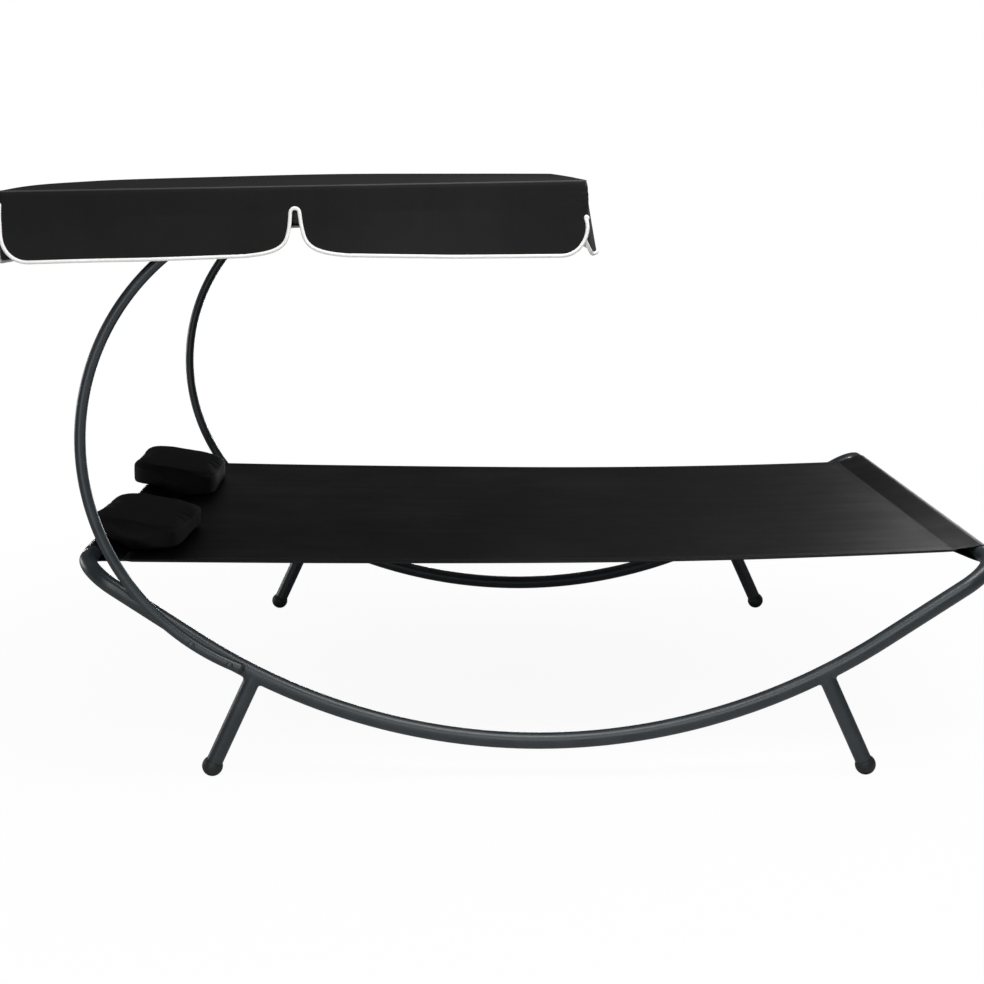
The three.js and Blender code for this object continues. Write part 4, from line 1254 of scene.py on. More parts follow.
def make_sling():
    hem = half_width - HEM_WIDTH
    hem_lines = [half_width, half_width - ROW_INSET, hem + ROW_INSET, hem]
    inner_edge = hem - INNER_MARGIN
    inner = [inner_edge - step * 2 * inner_edge / INNER_COLUMNS for step in range(INNER_COLUMNS + 1)]
    across = sorted([-value for value in hem_lines] + inner + hem_lines)
    sling = spread_sheet("bed_sling_cloth", across, lengthways, sling_place)
    area = sum(face.area for face in sling.data.polygons)
    print("sling measures", round(area, 4), "square metres")
    faces_outward(sling)
    thicken(sling, SLING_CLOTH, 0)
    return sling


bed_sling = make_sling()
finish_piece(bed_sling, sling_cloth, "sling_fabric", "frame", "bed_sling")


# %% [markdown]
# ## The rolled hems
#
# Both long edges of the bed are folded under and sewn, which leaves a thin roll. To fold the sheet itself,
# its squares would have to be a few times finer there. So a cord of the same cloth is laid just under each
# edge, and its ends go into the pockets. The cord is drawn lighter than the bed's cloth, which paints a
# highlight along the roll.

# %% The hems
HEM_LIP = 2.2 * MM
HEM_TUCK = 9 * MM


def make_hem(name, side):
    line = bmesh.new()
    places = [along for along in lengthways if abs(along) < SEAM_REACH]
    places = [-SEAM_REACH - HEM_TUCK] + places + [SEAM_REACH + HEM_TUCK]
    lip = [sling_place(side * half_width, along) for along in places]
    verts = [line.verts.new(place + Vector((0, side * HEM_LIP / 2, -HEM_LIP))) for place in lip]
    for first, second in zip(verts, verts[1:]):
        line.edges.new((first, second))
    return cord_along(name, line, HEM_LIP)


for side_name, side in SIDES.items():
    hem = make_hem(f"{side_name}_sling_hem", side)
    # The hem cord's lighter cloth is a painted highlight along the roll.
    finish_piece(hem, hem_cloth, "sling_fabric", "frame")


# %% [markdown]
# ## The canopy's frame
#
# Two rails and three cross bars of 19 mm tube carry the cover. The bars are arched a little, so that rain
# runs off. Each ends in a hollow cut that fits the rail. A Boolean would cut it, but leaves ragged faces
# along the joint, so the vertices of the end rings are slid on to the rail's skin instead. All tubes are
# drawn level and then turned by the small angle at which the canopy rests.

# %% Canopy sizes
CANOPY_HEAD_REACH = 629 * MM
CANOPY_FOOT_REACH = 628 * MM
CANOPY_TUBE_RADIUS = 9.5 * MM
CANOPY_TUBE_RISE = 47 * MM
CANOPY_REST_TILT = math.radians(-1.25)
COVER_CLOTH = 1.5 * MM
COVER_WALL = 2 * MM
BRACKET_REACH = 23.6 * MM
ROOF_SAG = 1 * MM
ROOF_CROWN = 9 * MM
HEAD_BAR_RISE = 9 * MM
FOOT_BAR_RISE = 3 * MM

bracket_y = rail_y + RAIL_RADIUS + 2 * ARC_TUBE_RADIUS + 2 * FIT_GAP
canopy_tube_y = bracket_y + BRACKET_REACH
canopy_tube_z = pivot.z + CANOPY_TUBE_RISE
canopy_edge = CANOPY_TUBE_RADIUS + FIT_GAP + COVER_WALL
canopy_half_width = canopy_tube_y + canopy_edge
canopy_length = CANOPY_HEAD_REACH + CANOPY_FOOT_REACH
canopy_middle_x = pivot.x - CANOPY_HEAD_REACH + canopy_length / 2
roof_top = canopy_tube_z + canopy_edge
REST_TURN = (Matrix.Translation(pivot) @ Matrix.Rotation(CANOPY_REST_TILT, 4, "Y")
             @ Matrix.Translation(-pivot))
print("canopy half width", round(canopy_half_width, 4), "roof at", round(roof_top, 4))


# %% The canopy's side rails
CANOPY_RAIL_SIDES = 32
CANOPY_RAIL_ROUND = 1 * MM


def make_canopy_rail(side_name, side):
    reach = canopy_length / 2 - COVER_WALL - FIT_GAP
    radius = CANOPY_TUBE_RADIUS
    half = [(radius, reach - CANOPY_RAIL_ROUND), (radius - CANOPY_RAIL_ROUND, reach)]
    profile = [(ring, -height) for ring, height in reversed(half)] + half
    middle = Vector((canopy_middle_x, side * canopy_tube_y, canopy_tube_z))
    rail = turned(f"{side_name}_canopy_rail_tube", middle, Vector((1, 0, 0)), profile, CANOPY_RAIL_SIDES)
    put(rail, REST_TURN)
    finish_piece(rail, coated_steel, "coated_steel", "canopy", f"{side_name}_canopy_side_rail")


for side_name, side in SIDES.items():
    make_canopy_rail(side_name, side)


# %% The cross bars
CROSS_BAR_SIDES = 48
CROSS_BAR_STEPS = 24
WELD_ZONE = 2 * MM


def arch_height(x):
    along = (x - canopy_middle_x) / (canopy_length / 2)
    end_rise = HEAD_BAR_RISE + (FOOT_BAR_RISE - HEAD_BAR_RISE) * (along + 1) / 2
    return ROOF_CROWN * (1 - along ** 2) + end_rise


def make_cross_bar(name, x):
    radius = CANOPY_TUBE_RADIUS
    rise = arch_height(x)
    bend_radius = (canopy_tube_y ** 2 + rise ** 2) / (2 * rise)
    reach = canopy_tube_y - radius
    half = math.asin(reach / bend_radius)
    centre = Vector((x, 0, canopy_tube_z + rise - bend_radius))
    start = centre + Vector((0, -math.sin(half), math.cos(half))) * bend_radius
    heading = Vector((0, math.cos(half), math.sin(half)))
    runs = [("bend", centre, Vector((-1, 0, 0)), 2 * half, CROSS_BAR_STEPS)]
    bar = bent_tube(f"{name}_canopy_bar_tube", start, heading, radius, runs, CROSS_BAR_SIDES)
    for vert in bar.data.vertices:
        if abs(vert.co.y) > reach - WELD_ZONE:
            height = min(abs(vert.co.z - canopy_tube_z), radius)
            hollow = radius - math.sqrt(radius ** 2 - height ** 2)
            vert.co.y = math.copysign(reach + hollow, vert.co.y)
    put(bar, REST_TURN)
    finish_piece(bar, coated_steel, "coated_steel", "canopy", f"{name}_canopy_bar")


make_cross_bar("head", pivot.x - CANOPY_HEAD_REACH + canopy_edge)
make_cross_bar("middle", pivot.x)
make_cross_bar("foot", pivot.x + CANOPY_FOOT_REACH - canopy_edge)


# %% [markdown]
# ## The canopy's cover
#
# The cover is sewn from a roof that is pulled over the tubes, a band that rolls over the outer tubes, and
# eight flaps with rounded corners. Flat panels would be quick, but show hard folds, and a simulation would
# need each seam's pull. So it is one sheet: the roof is a grid whose edge is carried on, ring by ring,
# round the tube, down the band, and then flap by flap. Each flap flares a little and has slack waves, and
# the band is gathered at the foot corners.

# %% Cover sizes and stations
ROLL_RADIUS = 9 * MM
CORNER_ROUND = 12 * MM
BAND_HEIGHT = 45 * MM
NOTCH_HALF = 12.5 * MM
NOTCH_SHIFT = 2 * MM
CORNER_SLIT = 5 * MM
PUCKER_STATIONS = (10 * MM, 16 * MM, 23 * MM, 30 * MM)
SLIT_STEPS = 4
SIDE_COLUMNS = 24
END_COLUMNS = 28
half_length = canopy_length / 2


def slit_stations(centre, half):
    steps = range(-SLIT_STEPS, SLIT_STEPS + 1)
    return [centre + half * math.sin(step * math.pi / (2 * SLIT_STEPS)) for step in steps]


def spaced(start, end, count):
    return [start + (end - start) * step / count for step in range(1, count)]


def edge_stations(half, notch, count):
    """Places along one edge: corner slit, flap, notch, flap, corner slit."""
    slit = [CORNER_SLIT * math.sin(step * math.pi / (2 * SLIT_STEPS)) for step in range(SLIT_STEPS + 1)]
    corner = slit + list(PUCKER_STATIONS)
    first = [-half + step for step in corner]
    last = [half - step for step in reversed(corner)]
    middle = slit_stations(notch, NOTCH_HALF)
    left, right = spaced(first[-1], middle[0], count), spaced(middle[-1], last[0], count)
    return first + left + middle + right + last


notch_x = pivot.x - canopy_middle_x + NOTCH_SHIFT
stations_x = edge_stations(half_length, notch_x, SIDE_COLUMNS)
stations_y = edge_stations(canopy_half_width, 0.0, END_COLUMNS)
print("cover grid", len(stations_x), "by", len(stations_y))


# %% Heights and outline of the roof
HEAD_LIFT = 0.3 * MM


def head_lift(x):
    return HEAD_LIFT * max(-x / half_length, 0) ** 2


def roof_rise(x, y):
    along, across = x / half_length, y / canopy_half_width
    sag = ROOF_SAG * math.sin(math.pi * along) ** 2 * (1 - across ** 4)
    return arch_height(x + canopy_middle_x) * (1 - across ** 4) - sag + head_lift(x)


def on_outline(x, y, radius):
    """Moves a station to a rounded outline whose corners have the given radius."""
    cx = max(abs(x) - (half_length - CORNER_ROUND), 0) / CORNER_ROUND
    cy = max(abs(y) - (canopy_half_width - CORNER_ROUND), 0) / CORNER_ROUND
    px = cx * math.sqrt(1 - cy ** 2 / 2)
    py = cy * math.sqrt(1 - cx ** 2 / 2)
    base_x = min(abs(x), half_length - CORNER_ROUND)
    base_y = min(abs(y), canopy_half_width - CORNER_ROUND)
    return math.copysign(base_x + px * radius, x), math.copysign(base_y + py * radius, y)


print("the roof stands", round(roof_rise(0, 0) / MM, 1), "mm higher in its middle than at its edges")


# %% The lower edge's slits, notches and round corners
TOUCH = 1e-6
FLAP_DROP = 148 * MM
FLAP_CORNER = 54 * MM
CORNER_LOW = {"head": -27 * MM, "foot": 22 * MM}
CORNER_REACH = 70 * MM
# How far the flap's edge stands back from the notch, in millimetres, at each depth below the roof
NOTCH_PROFILE = [(59, 0), (75, 1), (102, 5.5), (118, 11), (129, 20.5)]
NOTCH_PROFILE += [(137, 33.5), (142.5, 51.5), (145.5, 71.5), (148, 96.5)]


def between(pairs, value):
    """Reads a value off a line through measured points."""
    for (low, first), (high, second) in zip(pairs, pairs[1:]):
        if value <= high:
            return first + (second - first) * max(value - low, 0) / (high - low)
    return pairs[-1][1]


def on_side_edge(y):
    return abs(abs(y) - canopy_half_width) < TOUCH


def on_end_edge(x):
    return abs(abs(x) - half_length) < TOUCH


def edge_low(x, y):
    """How far down a flap starts: deeper at the foot's corners and higher at the head's."""
    from_corner = max(half_length - abs(x), canopy_half_width - abs(y)) / CORNER_REACH
    fade = max(1 - from_corner, 0)
    corner = CORNER_LOW["foot" if x > 0 else "head"] * fade ** 2 * (3 - 2 * fade)
    return BAND_HEIGHT + NOTCH_HALF + corner


def slit_drop(x, y):
    """How far down the band's lower edge is: a small arch over each notch and corner slit."""
    on_long_side = on_side_edge(y)
    along, half, notch = (x, half_length, notch_x) if on_long_side else (y, canopy_half_width, 0.0)
    low = edge_low(x, y)
    at_notch, at_corner = abs(along - notch), half - abs(along)
    if at_notch < NOTCH_HALF:
        return low - math.sqrt(NOTCH_HALF ** 2 - at_notch ** 2)
    if at_corner < CORNER_SLIT:
        return low - math.sqrt(CORNER_SLIT ** 2 - at_corner ** 2)
    return low


def corner_inset(drop):
    turn = max(drop - (FLAP_DROP - FLAP_CORNER), 0) / FLAP_CORNER
    return FLAP_CORNER * (1 - math.sqrt(max(1 - turn ** 2, 0)))


def notch_inset(drop):
    return between(NOTCH_PROFILE, drop / MM) * MM


print("a notch starts", round(slit_drop(notch_x, canopy_half_width) / MM, 1), "mm below the roof")


# %% The eight flaps
FLAP_FLARE = {"side": 10 * MM, "head": 10 * MM, "foot": 1 * MM}
SIDE_PHASES = (0.4, 1.9)
END_PHASES = {"head": 2.7, "foot": 4.1}


def flap_list():
    low_x, high_x = -half_length, half_length
    flaps = []
    for side in (-1, 1):
        for part, (start, end) in enumerate(((low_x, notch_x), (notch_x, high_x))):
            flaps.append({"edge": "side", "side": side, "start": start, "end": end,
                          "phase": SIDE_PHASES[part], "sense": 1, "flare": FLAP_FLARE["side"]})
    for end_name, end in ENDS.items():
        for part, (start, stop) in enumerate(((-canopy_half_width, 0.0), (0.0, canopy_half_width))):
            sense = -end * (-1 if part == 0 else 1)
            flaps.append({"edge": "end", "side": end, "start": start, "end": stop,
                          "phase": END_PHASES[end_name], "sense": sense, "flare": FLAP_FLARE[end_name]})
    return flaps


print("the cover has", len(flap_list()), "flaps")


# %% How the cloth stands out
FOOT_BULGE = 24 * MM
BULGE_REACH = 170 * MM
BULGE_POWER = 0.8
FOOT_TUCK = 12 * MM
TUCK_WIDTH = 45 * MM
PUCKER_DEPTH = 3 * MM
PUCKER_PITCH = 16 * MM
PUCKER_REACH = 34 * MM
FLAP_WAVE = 3 * MM
LONG_WAVE = 95 * MM
SHORT_WAVE = 41 * MM
SHORT_SHARE = 0.6


def foot_bulge(x, y, drop):
    """The foot valance leans out from the roof's edge down, but less near its corners."""
    if x < half_length - TOUCH:
        return 0.0
    share = min((canopy_half_width - abs(y)) / BULGE_REACH, 1)
    return FOOT_BULGE * (drop / FLAP_DROP) ** BULGE_POWER * share * (2 - share)


def tucked(flap, along, depth):
    """The foot valance's free edges at the corners lie behind the side flaps."""
    if flap["edge"] == "side" or flap["side"] < 0:
        return 0.0
    near = max(1 - (canopy_half_width - CORNER_SLIT - abs(along)) / TUCK_WIDTH, 0)
    return FOOT_TUCK * near ** 2 * math.sin(math.pi * min(depth, 1))


def pucker(x, y, drop):
    """The band is gathered into small ripples where its panels meet at a foot corner."""
    if x < 0:
        return 0.0
    from_corner = max(half_length - x, canopy_half_width - abs(y))
    fade = max(1 - from_corner / PUCKER_REACH, 0)
    depth = min(max((drop - ROLL_RADIUS) / (BAND_HEIGHT + NOTCH_HALF), 0), 1)
    return PUCKER_DEPTH * fade * math.sin(math.pi * depth) * math.sin(2 * math.pi * drop / PUCKER_PITCH)


def stands_out(flap, along, drop):
    depth = max(drop - BAND_HEIGHT, 0) / (FLAP_DROP - BAND_HEIGHT)
    place = flap["sense"] * (along - (flap["start"] + flap["end"]) / 2)
    waves = math.sin(place / LONG_WAVE + flap["phase"])
    waves += SHORT_SHARE * math.sin(place / SHORT_WAVE + 2 * flap["phase"])
    return depth * (flap["flare"] * depth + FLAP_WAVE * waves)


print("the foot valance leans out by", round(foot_bulge(half_length, 0, FLAP_DROP) / MM, 1), "mm")


# %% A sheet that keeps its flat places
class CoverSheet:
    """Collects the cover's vertices with their flat places, ring by ring."""

    def __init__(self):
        self.mesh = bmesh.new()
        self.flat = {}

    def vertex(self, place, flat):
        vert = self.mesh.verts.new(place)
        self.flat[vert] = flat
        return vert

    def strip(self, upper, lower, closed=False):
        """A row of faces between two rows of vertices."""
        pairs = list(zip(upper, lower))
        if closed:
            pairs.append(pairs[0])
        for (above, below), (next_above, next_below) in zip(pairs, pairs[1:]):
            self.mesh.faces.new((above, below, next_below, next_above))


# %% The roof's grid and its rim
def roof_grid(sheet):
    columns = []
    for x in stations_x:
        column = []
        for y in stations_y:
            px, py = on_outline(x, y, CORNER_ROUND - ROLL_RADIUS)
            column.append(sheet.vertex(Vector((px, py, roof_top + roof_rise(px, y))), (x, y)))
        columns.append(column)
    for column, beside in zip(columns, columns[1:]):
        sheet.strip(column, beside)
    return columns


def rim_of(columns):
    """The rim, once round, as (vertex, x, y)."""
    last_x = len(stations_x) - 1
    last_y = len(stations_y) - 1
    order = [(i, 0) for i in range(last_x)] + [(last_x, j) for j in range(last_y)]
    order += [(i, last_y) for i in range(last_x, 0, -1)] + [(0, j) for j in range(last_y, 0, -1)]
    return [(columns[i][j], stations_x[i], stations_y[j]) for i, j in order]


# %% Round the tube and down the band
ROLL_STEPS = 4
BAND_ROWS = 14
CORNER_SPREAD = 0.7


def flat_below(x, y, drop):
    """The flat place of a point of the band; at a corner the cloth is cut on the slant."""
    down_x, down_y = math.copysign(drop, x), math.copysign(drop, y)
    if on_side_edge(y) and on_end_edge(x):
        return x + down_x * CORNER_SPREAD, y + down_y * CORNER_SPREAD
    if on_side_edge(y):
        return x, y + down_y
    return x + down_x, y


def carried_down(sheet, rim):
    """The roll over the tube and the band below it; returns the band's last ring."""
    ring = [vert for vert, _, _ in rim]
    for step in range(1, ROLL_STEPS + 1):
        angle = step * math.pi / (2 * ROLL_STEPS)
        radius = CORNER_ROUND - ROLL_RADIUS * (1 - math.sin(angle))
        drop = ROLL_RADIUS * (1 - math.cos(angle))
        lower = []
        for _, x, y in rim:
            px, py = on_outline(x, y, radius)
            rise = roof_rise(px, y) - head_lift(px)
            height = roof_top - drop + head_lift(px) + rise * (1 - math.sin(angle))
            lower.append(sheet.vertex(Vector((px, py, height)), flat_below(x, y, drop)))
        sheet.strip(ring, lower, closed=True)
        ring = lower
    for step in range(1, BAND_ROWS + 1):
        lower = []
        for _, x, y in rim:
            drop = ROLL_RADIUS + (slit_drop(x, y) - ROLL_RADIUS) * step / BAND_ROWS
            px, py = on_outline(x, y, CORNER_ROUND)
            wave = pucker(x, y, drop)
            if on_side_edge(y):
                py += math.copysign(wave, y)
            if on_end_edge(x):
                px += math.copysign(wave, x)
            place = Vector((px + foot_bulge(x, y, drop), py, roof_top - drop + head_lift(x)))
            lower.append(sheet.vertex(place, flat_below(x, y, drop)))
        sheet.strip(ring, lower, closed=True)
        ring = lower
    return ring


# %% A flap, row by row
FLAP_ROWS = 11
FULL_SHARE = 0.25
FOOT_REACH = 2 * MM
TUCK_CLEARANCE = 8 * MM
# How much lower a flap hangs, in millimetres, at each place between the head end, -1, and the foot end, 1
DROP_AT = [(-1, 2), (-0.75, 0), (-0.5, -0.5), (-0.15, -4), (0.2, -1), (0.55, 6), (1, 9)]


def hang_flap(sheet, rim, ring, flap):
    """One flap, row by row, from the band's last ring to its hem."""
    on_side = flap["edge"] == "side"
    level = canopy_half_width if on_side else half_length
    at_notch_start = abs(flap["start"] - (notch_x if on_side else 0.0)) < TOUCH
    first = flap["start"] + (NOTCH_HALF if at_notch_start else CORNER_SLIT)
    last = flap["end"] - (CORNER_SLIT if at_notch_start else NOTCH_HALF)
    members = []
    for vert, (_, x, y) in zip(ring, rim):
        along, beyond = (x, y) if on_side else (y, x)
        if abs(beyond - flap["side"] * level) < TOUCH and first - TOUCH <= along <= last + TOUCH:
            members.append((along, vert))
    members.sort(key=lambda item: item[0])
    edge = flap["side"] * level
    lows = [edge_low(along, edge) if on_side else edge_low(edge, along) for along, _ in members]
    upper = [vert for _, vert in members]
    for row in range(1, FLAP_ROWS + 1):
        down = math.sin(row * math.pi / (2 * FLAP_ROWS))
        drops = [low + (FLAP_DROP - low) * down for low in lows]
        start_inset = notch_inset(drops[0]) if at_notch_start else corner_inset(drops[0])
        end_inset = corner_inset(drops[-1]) if at_notch_start else notch_inset(drops[-1])
        if on_side and at_notch_start:
            end_inset -= FOOT_REACH * min(down / FULL_SHARE, 1)
        if not on_side and flap["side"] > 0:
            clear = TUCK_CLEARANCE * min(down / FULL_SHARE, 1) * (1 - down)
            start_inset += 0 if at_notch_start else clear
            end_inset += clear if at_notch_start else 0
        lower = []
        for (along, _), drop in zip(members, drops):
            share = (along - first) / (last - first)
            place = first + start_inset + share * (last - end_inset - first - start_inset)
            out = level + stands_out(flap, place, drop)
            along_roof = place / half_length if on_side else flap["side"]
            hung = drop + between(DROP_AT, along_roof) * MM * down
            if on_side:
                position = Vector((place, flap["side"] * out, roof_top - hung + head_lift(place)))
                flat = (place, flap["side"] * (level + hung))
            else:
                out += foot_bulge(edge, place, drop) - tucked(flap, place, down)
                position = Vector((flap["side"] * out, place, roof_top - hung + head_lift(edge)))
                flat = (flap["side"] * (level + hung), place)
            lower.append(sheet.vertex(position, flat))
        sheet.strip(upper, lower)
        upper = lower


# %% The whole cover
def make_cover():
    sheet = CoverSheet()
    rim = rim_of(roof_grid(sheet))
    ring = carried_down(sheet, rim)
    for flap in flap_list():
        hang_flap(sheet, rim, ring, flap)
    sheet.mesh.verts.index_update()
    layer = sheet.mesh.loops.layers.uv.new("flat")
    for face in sheet.mesh.faces:
        for loop in face.loops:
            loop[layer].uv = sheet.flat[loop.vert]
    bmesh.ops.translate(sheet.mesh, verts=sheet.mesh.verts, vec=(canopy_middle_x, 0, 0))
    cover = new_piece("canopy_cover_cloth", sheet.mesh)
    faces_outward(cover)
    if sum(face.normal.z * face.area for face in cover.data.polygons) < 0:
        cover.data.flip_normals()
    make_finer(cover)
    return cover


canopy_cover = make_cover()

# %% [markdown]
# ## The white binding
#
# A white tape is sewn round the whole lower edge, up one side of each notch and down the other. Drawing it
# flap by flap would leave ends at the tops of the notches. Instead the cover's own open edge is
# copied out of it, moved outwards by a little, and given a round section, so it follows every wave.

# %% The binding, from the cover's own edge
BINDING_RADIUS = 4.1 * MM
BINDING_STAND = 2.4 * MM


def make_binding(cover):
    mesh = bmesh.new()
    mesh.from_mesh(cover.data)
    out = {}
    for edge in mesh.edges:
        if not edge.is_boundary:
            continue
        middle = (edge.verts[0].co + edge.verts[1].co) / 2
        along = (edge.verts[1].co - edge.verts[0].co).normalized()
        away = middle - edge.link_faces[0].calc_center_median()
        away = (away - along * away.dot(along)).normalized()
        for vert in edge.verts:
            out[vert] = out.get(vert, Vector()) + away
    line = bmesh.new()
    made = {}
    for vert, away in out.items():
        made[vert] = line.verts.new(vert.co + away.normalized() * BINDING_STAND)
    for edge in mesh.edges:
        if edge.is_boundary:
            line.edges.new([made[vert] for vert in edge.verts])
    mesh.free()
    return cord_along("canopy_binding", line, BINDING_RADIUS)


canopy_binding = put(make_binding(canopy_cover), REST_TURN)
print("the binding has", len(canopy_binding.data.polygons), "faces")


# %% [markdown]
# ## The seam round the roof
#
# Where roof and band are sewn together, the allowance inside stands up as a thin ridge that catches the
# light. A bump in the cloth's finish would be lost in the outline, so the ridge is a cord along one line of
# the roll over the tubes, half sunk in the cloth. The cord is also drawn several times lighter than the
# cover's cloth, which paints the highlight along it.

# %% The seam
SEAM_RADIUS = 2.2 * MM
SEAM_ANGLE = math.radians(38)


def roof_rim():
    """The stations round the roof's edge, once round."""
    first_x, last_x = stations_x[0], stations_x[-1]
    first_y, last_y = stations_y[0], stations_y[-1]
    near_and_foot = [(x, first_y) for x in stations_x] + [(last_x, y) for y in stations_y[1:]]
    far = [(x, last_y) for x in stations_x[-2::-1]]
    return near_and_foot + far + [(first_x, y) for y in stations_y[-2:0:-1]]


def make_edge_seam():
    angle = SEAM_ANGLE
    line = bmesh.new()
    ring = []
    for x, y in roof_rim():
        px, py = on_outline(x, y, CORNER_ROUND - ROLL_RADIUS * (1 - math.sin(angle)))
        height = roof_top - ROLL_RADIUS * (1 - math.cos(angle)) + head_lift(px)
        height += (roof_rise(px, y) - head_lift(px)) * (1 - math.sin(angle))
        ring.append(line.verts.new((px + canopy_middle_x, py, height)))
    for first, second in zip(ring, ring[1:] + ring[:1]):
        line.edges.new((first, second))
    return cord_along("canopy_edge_seam", line, SEAM_RADIUS)


edge_seam = put(make_edge_seam(), REST_TURN)
print("the seam has", len(edge_seam.data.polygons), "faces")


# %% [markdown]
# ## Cover, binding and seam end together
#
# Until now the cover is a skin, because the binding was drawn from its bare edge, and a cloth that already
# had its thickness would have two edges there. Solidify now gives it its thickness on the inside.

# %% Thickness, and the ends of the three pieces
thicken(canopy_cover, COVER_CLOTH, -1)
put(canopy_cover, REST_TURN)
PIPING_NODES = [f"{side}_{end}_flap_piping" for side in SIDES for end in ENDS]
PIPING_NODES += [f"{end}_end_{side}_flap_piping" for side in SIDES for end in ENDS]
finish_piece(canopy_cover, canopy_cloth, "canopy_fabric", "canopy", "canopy_cover")
finish_piece(canopy_binding, binding_cloth, "white_piping", "canopy", *PIPING_NODES)
# The seam cord's lighter cloth is a painted highlight on the ridge.
finish_piece(edge_seam, seam_painted_highlight_cloth, "canopy_fabric", "canopy")


# %% [markdown]
# ## The pillows
#
# A pillow is a boxed cushion: a top and a bottom cloth with a side wall between them, stuffed so that the
# walls swell and the top crowns. Moving vertices by a formula gives the crown but not the puckers along
# the seams. So a case is modelled a little too small, with its walls, and blown up by a cloth
# simulation, whose result is kept as the mesh. The far pillow is a mirror image, and each is then laid
# down in its own place, with its own small turn and its own fullness.

# %% An empty boxed case
PILLOW_LENGTH = 390 * MM
PILLOW_WIDTH = 228 * MM
LOOSE_CROWN = 3 * MM
PILLOW_WALL = 45 * MM
PILLOW_CORNER_SHARE = 0.14
CASE_SHARE = 0.965
CASE_CELL = 7 * MM
WALL_ROWS = 5
CASE_FULLNESS = 0.5
FACE_LEVEL = 0.99


def boxed_case(name):
    nothing_selected()
    columns = round(PILLOW_WIDTH / CASE_CELL)
    rows = round(PILLOW_LENGTH / CASE_CELL)
    floor = (0, 0, -PILLOW_WALL / 2)
    bpy.ops.mesh.primitive_grid_add(x_subdivisions=columns, y_subdivisions=rows, size=2, location=floor)
    case = take(name)
    edit(case, "FACE")
    bpy.ops.mesh.select_all(action="SELECT")
    for _ in range(WALL_ROWS):
        row = (0, 0, PILLOW_WALL / WALL_ROWS)
        bpy.ops.mesh.extrude_region_move(TRANSFORM_OT_translate={"value": row})
    object_mode()
    for vert in case.data.vertices:
        u, v, level = vert.co.x, vert.co.y, vert.co.z / (PILLOW_WALL / 2)
        round_u = math.sqrt(1 - 2 * PILLOW_CORNER_SHARE * v ** 4)
        round_v = math.sqrt(1 - 2 * PILLOW_CORNER_SHARE * u ** 4)
        crown = max((1 - u * u) * (1 - v * v), 0) ** CASE_FULLNESS
        outside = round(level) if abs(level) > FACE_LEVEL else 0
        vert.co.x = u * round_u * PILLOW_WIDTH / 2 * CASE_SHARE
        vert.co.y = v * round_v * PILLOW_LENGTH / 2 * CASE_SHARE
        vert.co.z += outside * LOOSE_CROWN * crown
    faces_outward(case)
    return case


# %% The case, blown up
FILL_PRESSURE = 4.0
FILL_FRAMES = 16
FILL_QUALITY = 6
CASE_MASS = 0.25
CASE_STRETCH = 12
CASE_SHEAR = 6
CASE_BENDING = 0.6
MOVE_CAP = 12 * MM


def blow_up(case):
    cloth = case.modifiers.new("cloth", "CLOTH")
    settings = cloth.settings
    settings.quality = FILL_QUALITY
    settings.mass = CASE_MASS
    settings.tension_stiffness = CASE_STRETCH
    settings.compression_stiffness = CASE_STRETCH
    settings.shear_stiffness = CASE_SHEAR
    settings.bending_stiffness = CASE_BENDING
    settings.use_pressure = True
    settings.uniform_pressure_force = FILL_PRESSURE
    settings.effector_weights.gravity = 0
    cloth.point_cache.frame_start = 1
    cloth.point_cache.frame_end = FILL_FRAMES
    before = [vert.co.copy() for vert in case.data.vertices]
    for step in range(1, FILL_FRAMES + 1):
        bpy.context.scene.frame_set(step)
    only(case)
    bpy.ops.object.modifier_apply(modifier=cloth.name)
    bpy.context.scene.frame_set(1)
    for vert, start in zip(case.data.vertices, before):
        move = vert.co - start
        if move.length > MOVE_CAP:
            vert.co = start + move.normalized() * MOVE_CAP


# %% The filled case at its size
PILLOW_CROWN = 13 * MM
PILLOW_UNDERSIDE = 8 * MM
PILLOW_SMOOTHING = 60


def fit_to_size(case):
    """Scales the filled case to the pillow's size, so that it lies where the frame has it."""
    halves = [max(abs(vert.co[axis]) for vert in case.data.vertices) for axis in range(2)]
    top = max(vert.co.z for vert in case.data.vertices)
    bottom = -min(vert.co.z for vert in case.data.vertices)
    for vert in case.data.vertices:
        vert.co.x *= PILLOW_WIDTH / 2 / halves[0]
        vert.co.y *= PILLOW_LENGTH / 2 / halves[1]
        wanted = PILLOW_WALL / 2 + (PILLOW_CROWN if vert.co.z > 0 else PILLOW_UNDERSIDE)
        vert.co.z *= wanted / (top if vert.co.z > 0 else bottom)


def make_pillow():
    case = boxed_case("near_pillow_case")
    blow_up(case)
    print("the case swells to", measured(case), "mm")
    fit_to_size(case)
    make_finer(case)
    return smooth(case, PILLOW_SMOOTHING)


# %% Laid over the bar and the cloth
PILLOW_MIDDLE_REACH = 956 * MM
PILLOW_EDGE = 90 * MM
POCKET_WALL = 1.6 * MM
FLATTENED = 0.25
PILLOW_SHIFTS = {"near": Vector((4 * MM, -36 * MM, 0)), "far": Vector((-22 * MM, -70 * MM, 0))}
PILLOW_TURNS = {"near": math.radians(-3), "far": math.radians(1)}
PILLOW_SHAPES = {"near": Vector((0.94, 1.02, 0.82)), "far": Vector((1, 1, 0.97))}
bar_top_z = end_bar_z + RAIL_RADIUS + FIT_GAP + POCKET_WALL


def resting_height(reach):
    """The height of what the pillow lies on, at a distance from the bed's middle."""
    seam_top = end_bar_z - HEAD_SEAM_DROP + SLING_CLOTH / 2
    if reach > END_BAR_REACH:
        return bar_top_z
    if reach > SEAM_REACH:
        share = (reach - SEAM_REACH) / (END_BAR_REACH - SEAM_REACH)
        return seam_top + (bar_top_z - seam_top) * math.sin(share * math.pi / 2)
    return middle_z + (seam_top - middle_z) * (reach / SEAM_REACH) ** 2


toe_reach = PILLOW_MIDDLE_REACH - PILLOW_WIDTH / 2
lean_slope = (bar_top_z - resting_height(toe_reach)) / (END_BAR_REACH - toe_reach)


